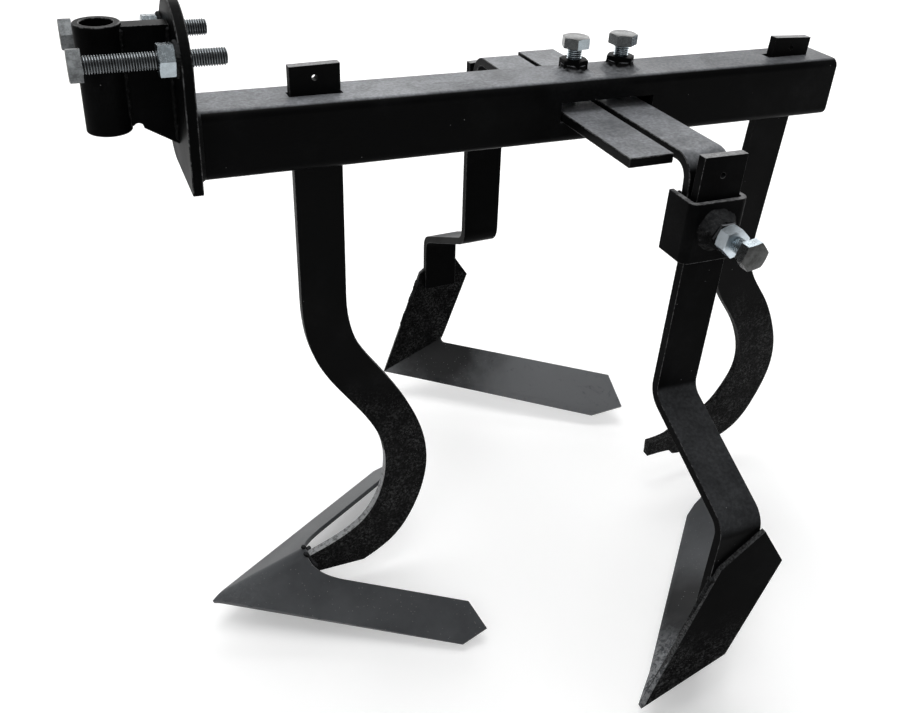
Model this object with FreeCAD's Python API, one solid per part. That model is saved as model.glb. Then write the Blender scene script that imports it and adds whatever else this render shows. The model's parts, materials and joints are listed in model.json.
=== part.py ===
# Weeding plough for a walking tiller, all sizes in millimetres.
# Stations (X) run rearward from the hitch plate's back face, Y runs to the far side
# and heights (Z) are taken from the beam's centre line. The finished pieces are then
# moved so that the origin lies on the hitch bush's axis, half way up the bush.
import FreeCAD
import Part
import math
import os
from FreeCAD import Vector

# Square tube beam
BEAM_SIZE = 60.0
BEAM_LENGTH = 665.0
BEAM_WALL = 5.0
BEAM_CORNER = 8.0

# Flat bar of the arms and shanks, and its play in the beam
BAR_WIDTH = 45.0
BAR_THICK = 9.0
SEAT_GAP = 0.3
SHANK_SLOT_PLAY = 3.5
SHANK_SLOT_END_PLAY = 1.8
ARM_SLOT_END_PLAY = 2.0
ARM_SLOT_HEADROOM = 10.0

# Hitch plate, bush and the web between them
PLATE_THICK = 9.0
PLATE_HALF_WIDTH = 59.0
PLATE_TOP = 116.0
PLATE_SHOULDER = 76.0
PLATE_BOTTOM = -28.0
PLATE_CORNER_CUT = 40.0
BUSH_REACH = 62.0
BUSH_OUTER_R = 18.0
BUSH_BORE_R = 12.5
BUSH_BOTTOM = 13.0
BUSH_TOP = 100.0
WEB_THICK = 16.0
WEB_TOP_DROP = 2.5
WEB_PLATE_BOTTOM = -2.0
WEB_BUSH_BOTTOM = 17.0
WEB_NOTCH_R = 4.0
HITCH_WELD_LEG = 7.0

# Screws: thread, head and nut sizes
SCREW_D = 14.0
SCREW_AF = 24.0
HEAD_HEIGHT = 10.0
NUT_HEIGHT = 13.0
HEX_CHAMFER = 1.2
HEX_CHAMFER_SPREAD = 1.7
SCREW_FIT = 0.3

# Adjuster bolts of the hitch
ADJUSTER_SPREAD = 43.0
ADJUSTER_HEIGHT = 80.0
ADJUSTER_REACH = 88.5
ADJUSTER_END = 28.0
ADJUSTER_WELD_R = 14.0
ADJUSTER_WELD = 2.5

# Sliding arms: station of each front edge on the centre line and skew in the slot.
# The leg is bent a little short of square, so that it splays outward to its foot
ARM_TOP = 0.5
ARM_BEND_R = 14.0
ARM_LEG_SPLAY = 6.0
ARM_LEG_BOTTOM = -88.0
FAR_ARM_STATION = 341.7
FAR_ARM_SKEW = -0.0107
FAR_ARM_REACH = 176.7
FAR_ARM_TAIL = 145.5
NEAR_ARM_STATION = 393.6
NEAR_ARM_SKEW = -0.0181
NEAR_ARM_REACH = 166.5
NEAR_ARM_TAIL = 165.0

# Nuts welded to the beam and the set bolts in them
ARM_BOLT_UNDERHEAD = 54.0
SHANK_BOLT_UNDERHEAD = 56.0
NUT_WELD_R = 19.0
NUT_WELD_HEIGHT = 7.0
NUT_WELD_RIM = 0.5

# Shanks that pass down through the beam: place on the centre line, tilt, top and foot.
# The rear one is set out from the beam's rear end
FRONT_SHANK_STATION = 109.3
FRONT_SHANK_TILT = -0.0231
FRONT_SHANK_TOP = 56.3
FRONT_FOOT = -540.0
REAR_SHANK_INSET = 46.4
REAR_SHANK_TILT = 0.0432
REAR_SHANK_TOP = 49.2
REAR_FOOT = -478.0
SHANK_OFFSET = -1.8
STOP_HOLE_R = 2.6
STOP_HOLE_DROP = 11.0

# Curved lower parts of the two middle shanks: distance rearward of the shank's
# place, height above its foot, and how much wider than the bar
FRONT_CURVE_HEIGHT = 365.0
FRONT_CURVE = [
    (17.4, 299.0, 0.5), (43.7, 257.0, 1.0), (71.2, 216.0, 0.0), (91.2, 171.0, 1.5),
    (96.4, 135.0, 4.5), (80.4, 67.0, 7.0), (59.7, 39.0, 8.0), (25.7, 18.0, 6.0), (-12.0, 3.0, 4.5)]
REAR_CURVE_HEIGHT = 308.0
REAR_CURVE = [
    (-0.1, 239.0, 3.0), (33.4, 190.5, 2.5), (50.4, 159.5, 4.0), (60.9, 128.0, 7.0), (62.4, 98.0, 10.0),
    (51.2, 61.0, 14.0), (21.9, 22.0, 15.0), (-41.6, 2.5, -9.0), (-78.1, 0.0, -24.0)]

# Joggled side shanks, tilted about their clamp bolts by the play of the clamps
NEAR_SHANK_TOP = 7.0
FAR_SHANK_TOP = -13.0
NEAR_SHANK_TILT = 0.0095
FAR_SHANK_TILT = -0.034
SIDE_HOLE_DROP = 18.0
JOGGLE_START = -240.0
JOGGLE_REACH = 127.0
JOGGLE_ANGLE = 25.5
JOGGLE_BEND_R = 16.0
NEAR_SHANK_BOTTOM = -398.0
FAR_SHANK_BOTTOM = -378.0

# Clamp of each side shank: strap, welded nut, lock nut and bolt
STRAP_THICK = 5.0
STRAP_TOP = -33.0
STRAP_BOTTOM = -91.0
STRAP_CORNER = 8.0
STRAP_SIDE_PLAY = 2.4
STRAP_FACE_PLAY = 1.5
STRAP_DEPTH = 37.0
STRAP_WELD_LEG = 6.0
CLAMP_HEIGHT = -60.0
CLAMP_NUT_HEIGHT = 16.0
CLAMP_UNDERHEAD = 44.0

# Shares, bent from plate. Each wing ends in a point: how far it lies past the cutting
# edge's end, how far across the wing, and how far past that end the inner edge runs.
# A tip lies below its shank's foot by its drop
SHARE_THICK = 5.0
CORNER_PULL = 0.15

# Front share: a symmetric V with its tip ahead of the foot
FRONT_TIP_REACH = 131.0
FRONT_TIP_DROP = 5.0
FRONT_BEND_R = 14.0
FRONT_FOLD = 117.8
FRONT_FOLD_ANGLE = 20.6
FRONT_SWEEP_ANGLE = 31.7
FRONT_RISE_ANGLE = -1.0
FRONT_WING_LENGTH = 286.0
FRONT_WING_WIDTH = 46.0
FRONT_CORNER_WEB = 51.0
FRONT_POINT_PAST = 23.5
FRONT_POINT_ACROSS = 21.0
FRONT_POINT_BACK = -1.0

# Side shares: an upright wing on the foot and a long flat wing towards the beam
SIDE_FOLD = 98.5
SIDE_FOLD_ANGLE = 24.8
SIDE_CORNER_WEB = 8.0
UPRIGHT_ANGLE = 72.0
UPRIGHT_WIDTH = 73.5
UPRIGHT_POINT_PAST = 46.0
UPRIGHT_POINT_ACROSS = 28.0
UPRIGHT_POINT_BACK = 11.0
LONG_WING_LENGTH = 309.0
LONG_WING_WIDTH = 63.3
LONG_POINT_PAST = 38.5
LONG_POINT_ACROSS = 21.5
LONG_POINT_BACK = 12.0
SIDE_BEND_R = 3.0
GROUND_EDGE_WIDTH = 9.0
GROUND_EDGE_DEPTH = 3.5
GROUND_EDGE_START = 45.0
GROUND_EDGE_OVERRUN = 0.2
NEAR_TIP_REACH = 52.0
NEAR_TIP_DROP = 119.5
NEAR_SWEEP_ANGLE = 46.2
NEAR_RISE_ANGLE = -1.9
NEAR_UPRIGHT_LENGTH = 180.0
FAR_TIP_REACH = 46.0
FAR_TIP_DROP = 135.5
FAR_SWEEP_ANGLE = 38.4
FAR_RISE_ANGLE = 0.0
FAR_UPRIGHT_LENGTH = 165.0

PIECES = {}


# Small helpers

def box(x0, x1, y0, y1, z0, z1):
    return Part.makeBox(x1 - x0, y1 - y0, z1 - z0, Vector(x0, y0, z0))


def rod(radius, start, end):
    axis = Vector(*end) - Vector(*start)
    return Part.makeCylinder(radius, axis.Length, Vector(*start), axis)


def prism(points, direction):
    wire = Part.makePolygon([Vector(*p) for p in points] + [Vector(*points[0])])
    return Part.Face(wire).extrude(Vector(*direction))


def lengthwise_edges(shape, direction):
    found = []
    for edge in shape.Edges:
        along = edge.Vertexes[-1].Point - edge.Vertexes[0].Point
        if along.Length > 1e-6 and along.normalize().cross(direction).Length < 1e-6:
            found.append(edge)
    return found


# Screws and nuts

def hexagon_ring(corner_r, turn, height):
    corners = []
    for i in range(6):
        angle = i * math.pi / 3 + turn
        corners.append(Vector(corner_r * math.cos(angle), corner_r * math.sin(angle), height))
    return Part.makePolygon(corners + corners[:1])


def hexagon(start, end):
    # Bolt head or nut between two points, each corner of its outer end cut by a plane.
    low = Vector(*start)
    axis = Vector(*end) - low
    corner_r = SCREW_AF / math.sqrt(3.0)
    body = Part.Face(hexagon_ring(corner_r, 0.0, 0.0)).extrude(Vector(0, 0, axis.Length))
    top_r = (corner_r - HEX_CHAMFER) / math.cos(math.pi / 6)
    foot_r = top_r + axis.Length * HEX_CHAMFER_SPREAD
    rings = [hexagon_ring(foot_r, math.pi / 6, 0.0), hexagon_ring(top_r, math.pi / 6, axis.Length)]
    body = body.common(Part.makeLoft(rings, True, True))
    body.Placement = FreeCAD.Placement(low, FreeCAD.Rotation(Vector(0, 0, 1), axis))
    return body


def along(origin, direction, distance):
    return tuple(Vector(*origin) + Vector(*direction) * distance)


def bolt(origin, direction, underhead, tip):
    # Head at distance underhead along the direction, screw down to distance tip.
    under = along(origin, direction, underhead)
    head = hexagon(under, along(origin, direction, underhead + HEAD_HEIGHT))
    screw = rod(SCREW_D / 2, under, along(origin, direction, tip))
    return head.fuse(screw).removeSplitter()


def nut(origin, direction, seat, height):
    start = along(origin, direction, seat)
    end = along(origin, direction, seat + height)
    return hexagon(start, end).cut(rod(SCREW_D / 2 + SCREW_FIT, start, end))


def weld_collar(origin, direction, seat, nut_height):
    # Bead round a welded nut, its hexagonal hole on the nut's flats.
    start = Vector(*along(origin, direction, seat))
    nut_corner_r = SCREW_AF / math.sqrt(3.0)
    cone = Part.makeCone(NUT_WELD_R, nut_corner_r + NUT_WELD_RIM, NUT_WELD_HEIGHT, start, Vector(*direction))
    return cone.cut(hexagon(tuple(start), along(origin, direction, seat + nut_height)))


# Bars

def bent_bar(path, bend_r, width):
    # Bar bent along a path of corner points, its inner bends of radius bend_r.
    half = BAR_THICK / 2
    points = [Vector(*p) for p in path]
    runs = [(b - a).normalize() for a, b in zip(points, points[1:])]
    across = Vector(*width).normalize()
    left = []
    right = []
    for point, before, after in zip(points, runs[:1] + runs, runs + runs[-1:]):
        normal = across.cross((before + after).normalize())
        offset = normal * (half / normal.dot(across.cross(before)))
        left.append(point + offset)
        right.append(point - offset)
    bar = prism([tuple(p) for p in left + right[::-1]], width)
    for i in range(1, len(points) - 1):
        turns_left = runs[i - 1].cross(runs[i]).dot(across) > 0
        inside, outside = (left, right) if turns_left else (right, left)
        bar = round_edge(bar, inside[i], bend_r)
        bar = round_edge(bar, outside[i], bend_r + BAR_THICK)
    return bar


def round_edge(solid, point, radius):
    # Fillet the one long edge that starts at a corner point.
    for edge in solid.Edges:
        ends = [vertex.Point for vertex in edge.Vertexes]
        if len(ends) == 2 and edge.Length > BAR_THICK * 2 and abs(edge.tangentAt(edge.FirstParameter).x) > 0.99:
            if min((end - point).Length for end in ends) < 1e-4:
                return solid.makeFillet(radius, [edge])
    raise ValueError("no edge at the bend")


def smooth_curve(points, first_way, last_way):
    curve = Part.BSplineCurve()
    curve.interpolate(Points=points, InitialTangent=first_way, FinalTangent=last_way)
    return curve


def curved_bar(data):
    # Flame-cut shank in the XZ plane: a straight bar above, and below the height
    # where it starts to curve two smooth edges about a centre curve.
    down = Vector(-data["tilt"], 0, -1).normalize()
    curve_top = data["foot"] + data["curve_height"]
    centre = [Vector(data["place"] + data["tilt"] * curve_top, 0, curve_top)]
    widths = [BAR_WIDTH]
    for rearward, height, extra in data["curve"]:
        centre.append(Vector(data["place"] + rearward, 0, data["foot"] + height))
        widths.append(BAR_WIDTH + extra)
    end_way = (centre[-1] - centre[-2]).normalize()
    spine = smooth_curve(centre, down, end_way)
    head_rise = down * ((curve_top - data["top"]) / abs(down.z))
    outline = []
    ends = []
    for sign in (-1, 1):
        points = []
        for point, width in zip(centre, widths):
            tangent = spine.tangent(spine.parameter(point))[0]
            points.append(point + Vector(-tangent.z, 0, tangent.x) * (sign * width / 2))
        head = points[0] + head_rise
        outline.append(Part.LineSegment(head, points[0]).toShape())
        outline.append(smooth_curve(points, down, end_way).toShape())
        ends.append((head, points[-1]))
    for first, second in zip(*ends):
        outline.append(Part.LineSegment(first, second).toShape())
    face = Part.Face(Part.Wire(Part.__sortEdges__(outline)))
    face.translate(Vector(0, SHANK_OFFSET - BAR_THICK / 2, 0))
    return face.extrude(Vector(0, BAR_THICK, 0))


# Beam and hitch

MIDDLE_SHANKS = {
    "front": dict(
        place=FRONT_SHANK_STATION, tilt=FRONT_SHANK_TILT, top=FRONT_SHANK_TOP, foot=FRONT_FOOT,
        curve_height=FRONT_CURVE_HEIGHT, curve=FRONT_CURVE),
    "rear": dict(
        place=BEAM_LENGTH - REAR_SHANK_INSET, tilt=REAR_SHANK_TILT, top=REAR_SHANK_TOP, foot=REAR_FOOT,
        curve_height=REAR_CURVE_HEIGHT, curve=REAR_CURVE)}


def arm_bolt_stations():
    return {"front": FAR_ARM_STATION + BAR_WIDTH / 2, "rear": NEAR_ARM_STATION + BAR_WIDTH / 2}


def rounded_bar(x0, x1, size, corner):
    bar = box(x0, x1, -size / 2, size / 2, -size / 2, size / 2)
    return bar.makeFillet(corner, lengthwise_edges(bar, Vector(1, 0, 0)))


def make_beam():
    half = BEAM_SIZE / 2
    beyond = half + 1
    inner = BEAM_SIZE - 2 * BEAM_WALL
    beam = rounded_bar(0, BEAM_LENGTH, BEAM_SIZE, BEAM_CORNER)
    beam = beam.cut(rounded_bar(-1, BEAM_LENGTH + 1, inner, BEAM_CORNER - BEAM_WALL))
    for data in MIDDLE_SHANKS.values():
        station = data["place"]
        reach = (BAR_WIDTH + abs(data["tilt"]) * BEAM_SIZE + SHANK_SLOT_END_PLAY) / 2
        near = SHANK_OFFSET - BAR_THICK / 2 - SEAT_GAP
        far = SHANK_OFFSET + BAR_THICK / 2 + SHANK_SLOT_PLAY
        beam = beam.cut(box(station - reach, station + reach, near, far, -beyond, beyond))
        beam = beam.cut(rod(SCREW_D / 2 + SCREW_FIT, (station, inner / 2 - 1, 0), (station, beyond, 0)))
    beam = beam.cut(box(
        FAR_ARM_STATION - ARM_SLOT_END_PLAY, NEAR_ARM_STATION + BAR_WIDTH + ARM_SLOT_END_PLAY,
        -beyond, beyond, ARM_TOP - BAR_THICK - SEAT_GAP, ARM_TOP + ARM_SLOT_HEADROOM))
    for station in arm_bolt_stations().values():
        beam = beam.cut(rod(SCREW_D / 2 + SCREW_FIT, (station, 0, inner / 2 - 1), (station, 0, beyond)))
    return beam


def plate_blank(x0, x1):
    # Arched hitch plate with square near corner and round far corner at the bottom.
    w = PLATE_HALF_WIDTH
    cut = PLATE_CORNER_CUT
    low = PLATE_BOTTOM
    sagitta = cut * (1 - math.sqrt(0.5))
    edges = [
        Part.LineSegment(Vector(x0, -w, PLATE_SHOULDER), Vector(x0, -w, low)),
        Part.LineSegment(Vector(x0, -w, low), Vector(x0, w - cut, low)),
        Part.Arc(Vector(x0, w - cut, low), Vector(x0, w - sagitta, low + sagitta), Vector(x0, w, low + cut)),
        Part.LineSegment(Vector(x0, w, low + cut), Vector(x0, w, PLATE_SHOULDER)),
        Part.Arc(Vector(x0, w, PLATE_SHOULDER), Vector(x0, 0, PLATE_TOP), Vector(x0, -w, PLATE_SHOULDER))]
    face = Part.Face(Part.Wire([edge.toShape() for edge in edges]))
    return face.extrude(Vector(x1 - x0, 0, 0))


def make_plate():
    plate = plate_blank(-PLATE_THICK, 0)
    for y in (-ADJUSTER_SPREAD, ADJUSTER_SPREAD):
        start = (-PLATE_THICK - 1, y, ADJUSTER_HEIGHT)
        plate = plate.cut(rod(SCREW_D / 2 + SCREW_FIT, start, (1, y, ADJUSTER_HEIGHT)))
    return plate


def make_bush():
    outer = rod(BUSH_OUTER_R, (-BUSH_REACH, 0, BUSH_BOTTOM), (-BUSH_REACH, 0, BUSH_TOP))
    return outer.cut(rod(BUSH_BORE_R, (-BUSH_REACH, 0, BUSH_BOTTOM - 1), (-BUSH_REACH, 0, BUSH_TOP + 1)))


def make_web():
    # Thick gusset between bush and plate, its lower edge notched beside the bush.
    y = -WEB_THICK / 2
    top = BUSH_TOP - WEB_TOP_DROP
    notch_x = -BUSH_REACH + BUSH_OUTER_R + WEB_NOTCH_R
    outline = [
        (-BUSH_REACH, y, top), (-PLATE_THICK, y, top), (-PLATE_THICK, y, WEB_PLATE_BOTTOM),
        (notch_x, y, WEB_BUSH_BOTTOM), (-BUSH_REACH, y, WEB_BUSH_BOTTOM)]
    web = prism(outline, (0, WEB_THICK, 0))
    notch_z = WEB_BUSH_BOTTOM - WEB_NOTCH_R / 2
    web = web.cut(rod(WEB_NOTCH_R, (notch_x, y - 1, notch_z), (notch_x, 1 - y, notch_z)))
    return web.cut(rod(BUSH_OUTER_R, (-BUSH_REACH, 0, BUSH_BOTTOM - 1), (-BUSH_REACH, 0, BUSH_TOP + 1)))


def make_hitch_weld():
    # Fillet weld round the beam's end, as far as the plate reaches behind it.
    leg = HITCH_WELD_LEG
    ring = rounded_bar(0, leg, BEAM_SIZE + 2 * leg, BEAM_CORNER + leg)
    rim = [edge for edge in ring.Edges if all(abs(vertex.X - leg) < 1e-6 for vertex in edge.Vertexes)]
    ring = ring.makeChamfer(leg * 0.97, rim)
    ring = ring.cut(rounded_bar(-1, leg + 1, BEAM_SIZE, BEAM_CORNER))
    return ring.common(plate_blank(0, leg))


def make_adjusters():
    for name, side in (("near", -1), ("far", 1)):
        origin = (0, side * ADJUSTER_SPREAD, ADJUSTER_HEIGHT)
        forward = (-1, 0, 0)
        nut_seat = PLATE_THICK + ADJUSTER_WELD
        start = along(origin, forward, PLATE_THICK)
        end = along(origin, forward, nut_seat)
        bead = rod(ADJUSTER_WELD_R, start, end)
        PIECES["adjuster_weld_" + name] = bead.cut(rod(SCREW_D / 2 + SCREW_FIT, start, end))
        PIECES["adjuster_nut_" + name] = nut(origin, forward, nut_seat, NUT_HEIGHT)
        PIECES["adjuster_bolt_" + name] = bolt(origin, forward, ADJUSTER_REACH - HEAD_HEIGHT, -ADJUSTER_END)


def make_hitch():
    PIECES["main_beam"] = make_beam()
    PIECES["hitch_plate"] = make_plate()
    PIECES["hitch_bush"] = make_bush()
    PIECES["hitch_web"] = make_web()
    PIECES["hitch_weld"] = make_hitch_weld()
    make_adjusters()


# Welded nuts and set bolts on the beam

def make_set_bolts():
    half = BEAM_SIZE / 2
    for name, station in arm_bolt_stations().items():
        add_set_bolt("arm", name, (station, 0, 0), (0, 0, 1), half, ARM_BOLT_UNDERHEAD, ARM_TOP + SEAT_GAP)
    tip = SHANK_OFFSET + BAR_THICK / 2 + SEAT_GAP
    for name, data in MIDDLE_SHANKS.items():
        add_set_bolt("shank", name, (data["place"], 0, 0), (0, 1, 0), half, SHANK_BOLT_UNDERHEAD, tip)


def add_set_bolt(kind, name, origin, direction, seat, underhead, tip):
    PIECES[kind + "_set_nut_" + name] = nut(origin, direction, seat, NUT_HEIGHT)
    PIECES[kind + "_nut_weld_" + name] = weld_collar(origin, direction, seat, NUT_HEIGHT)
    PIECES[kind + "_set_bolt_" + name] = bolt(origin, direction, underhead, tip)


# Arms, side shanks and their clamps

SIDES = {
    "near": dict(
        sign=-1, station=NEAR_ARM_STATION, skew=NEAR_ARM_SKEW, reach=NEAR_ARM_REACH,
        tail=NEAR_ARM_TAIL, top=NEAR_SHANK_TOP, bottom=NEAR_SHANK_BOTTOM, tilt=NEAR_SHANK_TILT,
        tip_reach=NEAR_TIP_REACH, tip_drop=NEAR_TIP_DROP, sweep=NEAR_SWEEP_ANGLE, rise=NEAR_RISE_ANGLE,
        upright=NEAR_UPRIGHT_LENGTH),
    "far": dict(
        sign=1, station=FAR_ARM_STATION, skew=FAR_ARM_SKEW, reach=FAR_ARM_REACH,
        tail=FAR_ARM_TAIL, top=FAR_SHANK_TOP, bottom=FAR_SHANK_BOTTOM, tilt=FAR_SHANK_TILT,
        tip_reach=FAR_TIP_REACH, tip_drop=FAR_TIP_DROP, sweep=FAR_SWEEP_ANGLE, rise=FAR_RISE_ANGLE,
        upright=FAR_UPRIGHT_LENGTH)}


def leg_front(data):
    # Station of the front edge of an arm's bent leg, and of the shank behind it.
    return data["station"] + data["skew"] * data["sign"] * data["reach"]


def shank_face(data):
    # Distance of the side shank's outer face from the centre plane, past the corner
    # of the leg that the arm's skew brings furthest out.
    corner = max(0.0, -data["sign"] * data["skew"]) * BAR_WIDTH
    return data["reach"] + corner + SEAT_GAP + BAR_THICK


def make_arm(data):
    sign = data["sign"]
    x = data["station"]
    leg = data["reach"] - BAR_THICK / 2
    height = ARM_TOP - BAR_THICK / 2
    path = [
        (x, -sign * data["tail"], height), (x, sign * (leg - ARM_LEG_SPLAY), height),
        (x, sign * leg, ARM_LEG_BOTTOM)]
    arm = bent_bar(path, ARM_BEND_R, (BAR_WIDTH, 0, 0))
    arm.rotate(Vector(x, 0, 0), Vector(0, 0, 1), -math.degrees(math.atan(data["skew"])))
    return arm


def make_side_shank(data):
    sign = data["sign"]
    x = leg_front(data)
    upper = sign * (shank_face(data) - BAR_THICK / 2)
    lower = upper + sign * JOGGLE_REACH
    drop = JOGGLE_REACH * math.tan(math.radians(JOGGLE_ANGLE))
    path = [
        (x, upper, data["top"]), (x, upper, JOGGLE_START),
        (x, lower, JOGGLE_START - drop), (x, lower, data["bottom"])]
    shank = bent_bar(path, JOGGLE_BEND_R, (BAR_WIDTH, 0, 0))
    hole = (x + BAR_WIDTH / 2, 0, data["top"] - SIDE_HOLE_DROP)
    start = along(hole, (0, sign, 0), abs(upper) - BAR_THICK)
    shank = shank.cut(rod(STOP_HOLE_R, start, along(hole, (0, sign, 0), abs(upper) + BAR_THICK)))
    shank.rotate(Vector(x, 0, CLAMP_HEIGHT), Vector(0, 1, 0), math.degrees(math.atan(data["tilt"])))
    return shank


def make_strap(data):
    # Bent strap round the shank, open towards the beam, with a bore for the clamp bolt.
    x0 = leg_front(data) - STRAP_SIDE_PLAY
    x1 = leg_front(data) + BAR_WIDTH + STRAP_SIDE_PLAY
    inner = shank_face(data) + STRAP_FACE_PLAY
    outer = inner + STRAP_THICK
    back = outer - STRAP_DEPTH
    block = box(x0 - STRAP_THICK, x1 + STRAP_THICK, back, outer, STRAP_BOTTOM, STRAP_TOP)
    corners = [edge for edge in lengthwise_edges(block, Vector(0, 0, 1)) if edge.CenterOfMass.y > outer - 1]
    block = block.makeFillet(STRAP_CORNER, corners)
    space = box(x0, x1, back - 1, inner, STRAP_BOTTOM - 1, STRAP_TOP + 1)
    corners = [edge for edge in lengthwise_edges(space, Vector(0, 0, 1)) if edge.CenterOfMass.y > inner - 1]
    space = space.makeFillet(STRAP_CORNER - STRAP_THICK, corners)
    strap = block.cut(space)
    middle = (x0 + x1) / 2
    strap = strap.cut(rod(SCREW_D / 2 + SCREW_FIT, (middle, inner - 1, CLAMP_HEIGHT), (middle, outer + 1, CLAMP_HEIGHT)))
    return to_side(strap, data)


def to_side(shape, data):
    # A piece drawn on the far side goes to its own side of the centre plane.
    if data["sign"] > 0:
        return shape
    return shape.mirror(Vector(0, 0, 0), Vector(0, 1, 0))


def make_strap_welds(data, arm):
    # Two seams that hold the strap's walls to the back of the arm's leg.
    x0 = leg_front(data) - STRAP_SIDE_PLAY
    x1 = leg_front(data) + BAR_WIDTH + STRAP_SIDE_PLAY
    back = data["reach"] - BAR_THICK
    leg = STRAP_WELD_LEG
    seams = []
    for wall, inward in ((x0, 1), (x1, -1)):
        reach = wall + inward * (STRAP_SIDE_PLAY + leg)
        corners = [(wall, back + 1, STRAP_BOTTOM), (wall, back - leg, STRAP_BOTTOM), (reach, back + 1, STRAP_BOTTOM)]
        seams.append(prism(corners, (0, 0, STRAP_TOP - STRAP_BOTTOM)))
    both = to_side(seams[0].fuse(seams[1]), data)
    return both.cut(arm)


def make_side(name, data):
    arm = make_arm(data)
    PIECES["arm_" + name] = arm
    PIECES["shank_" + name] = make_side_shank(data)
    PIECES["clamp_strap_" + name] = make_strap(data)
    PIECES["clamp_seams_" + name] = make_strap_welds(data, arm)
    origin = (leg_front(data) + BAR_WIDTH / 2, 0, CLAMP_HEIGHT)
    outward = (0, data["sign"], 0)
    seat = shank_face(data) + STRAP_FACE_PLAY + STRAP_THICK
    PIECES["clamp_nut_" + name] = nut(origin, outward, seat, CLAMP_NUT_HEIGHT)
    PIECES["clamp_nut_weld_" + name] = weld_collar(origin, outward, seat, CLAMP_NUT_HEIGHT)
    PIECES["clamp_lock_nut_" + name] = nut(origin, outward, seat + CLAMP_NUT_HEIGHT, NUT_HEIGHT)
    tip = shank_face(data) + SEAT_GAP
    PIECES["clamp_bolt_" + name] = bolt(origin, outward, seat + CLAMP_UNDERHEAD, tip)


def make_middle_shanks():
    for name, data in MIDDLE_SHANKS.items():
        hole_x = data["place"] + data["tilt"] * data["top"]
        hole_z = data["top"] - STOP_HOLE_DROP
        hole = rod(STOP_HOLE_R, (hole_x, -BEAM_SIZE, hole_z), (hole_x, BEAM_SIZE, hole_z))
        PIECES["shank_" + name] = curved_bar(data).cut(hole)
    below_foot = box(-BEAM_LENGTH, BEAM_LENGTH, -BEAM_SIZE, BEAM_SIZE, 2 * FRONT_FOOT, FRONT_FOOT)
    PIECES["shank_front"] = PIECES["shank_front"].cut(below_foot)


# Shares

def direction(sweep, rise, side):
    # Unit vector rearward, turned sideways by sweep and upward by rise, in degrees.
    level = math.cos(math.radians(rise))
    return Vector(
        level * math.cos(math.radians(sweep)),
        side * level * math.sin(math.radians(sweep)),
        math.sin(math.radians(rise)))


def across_wing(fold, edge):
    return (fold - edge * fold.dot(edge)).normalize()


def wing_outline(tip, fold, edge, length, width, web, point):
    # Corners of one wing in its own plane: tip, pointed end, inner edge, and the three
    # poles of the hollow curve that leads to the end of the fold.
    across = across_wing(fold, edge)
    curve_end = fold.dot(edge)
    past, over, back = point
    return [
        tip, tip + edge * length, tip + edge * (length + past) + across * over,
        tip + edge * (length + back) + across * width,
        tip + edge * (curve_end + web) + across * width,
        tip + edge * (curve_end + web * CORNER_PULL) + across * width, tip + fold]


def wing_wire(points):
    edges = [Part.LineSegment(a, b) for a, b in zip(points[:-3], points[1:-2])]
    corner = Part.BezierCurve()
    corner.setPoles(points[-3:])
    edges += [corner, Part.LineSegment(points[-1], points[0])]
    return Part.Wire([edge.toShape() for edge in edges])


def round_fold(share, start, fold, radius):
    # Fillet the edge that runs from start along the fold.
    for edge in share.Edges:
        ends = [vertex.Point for vertex in edge.Vertexes]
        if all(min((point - corner).Length for point in ends) < 1e-4 for corner in (start, start + fold)):
            return share.makeFillet(radius, [edge])
    raise ValueError("no edge at the fold")


def folded_share(tip, fold, wings, hollow_side, bend_r):
    # Two wings that meet along the fold. The drawn face is the one opposite the
    # plate's thickness, which lies on the hollow or on the outer side of the fold.
    sides = []
    for wing, other in ((wings[0], wings[1]), (wings[1], wings[0])):
        normal = wing[0].cross(fold).normalize()
        if (normal.dot(other[0]) > 0) != hollow_side:
            normal = -normal
        sides.append(normal)
    mitre = (sides[0] + sides[1]) * (SHARE_THICK / (1 + sides[0].dot(sides[1])))
    plates = []
    for wing, side in zip(wings, sides):
        face = wing_outline(tip, fold, *wing)
        back = [point + side * SHARE_THICK for point in face]
        back[0] = face[0] + mitre
        back[-1] = face[-1] + mitre
        plates.append(Part.makeLoft([wing_wire(face), wing_wire(back)], True, True))
    outside, inside = (tip, tip + mitre) if hollow_side else (tip + mitre, tip)
    share = round_fold(plates[0].fuse(plates[1]), outside, fold, bend_r + SHARE_THICK)
    return round_fold(share, inside, fold, bend_r)


def make_front_share():
    tip = Vector(FRONT_SHANK_STATION - FRONT_TIP_REACH, SHANK_OFFSET, FRONT_FOOT - FRONT_TIP_DROP)
    fold = direction(0, FRONT_FOLD_ANGLE, 0) * FRONT_FOLD
    point = (FRONT_POINT_PAST, FRONT_POINT_ACROSS, FRONT_POINT_BACK)
    wings = []
    for side in (-1, 1):
        edge = direction(FRONT_SWEEP_ANGLE, FRONT_RISE_ANGLE, side)
        wings.append((edge, FRONT_WING_LENGTH, FRONT_WING_WIDTH, FRONT_CORNER_WEB, point))
    return folded_share(tip, fold, wings, True, FRONT_BEND_R).cut(PIECES["shank_front"])


def make_side_share(data):
    sign = data["sign"]
    foot_face = sign * (shank_face(data) + JOGGLE_REACH)
    tip = Vector(leg_front(data) - data["tip_reach"], foot_face, data["bottom"] - data["tip_drop"])
    fold = direction(0, SIDE_FOLD_ANGLE, 0) * SIDE_FOLD
    upright = direction(0, UPRIGHT_ANGLE, 0)
    level = direction(data["sweep"], data["rise"], -sign)
    upright_point = (UPRIGHT_POINT_PAST, UPRIGHT_POINT_ACROSS, UPRIGHT_POINT_BACK)
    long_point = (LONG_POINT_PAST, LONG_POINT_ACROSS, LONG_POINT_BACK)
    wings = [
        (upright, data["upright"], UPRIGHT_WIDTH, SIDE_CORNER_WEB, upright_point),
        (level, LONG_WING_LENGTH, LONG_WING_WIDTH, SIDE_CORNER_WEB, long_point)]
    share = folded_share(tip, fold, wings, False, SIDE_BEND_R)
    return share.cut(ground_edge(tip, fold, level))


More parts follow.
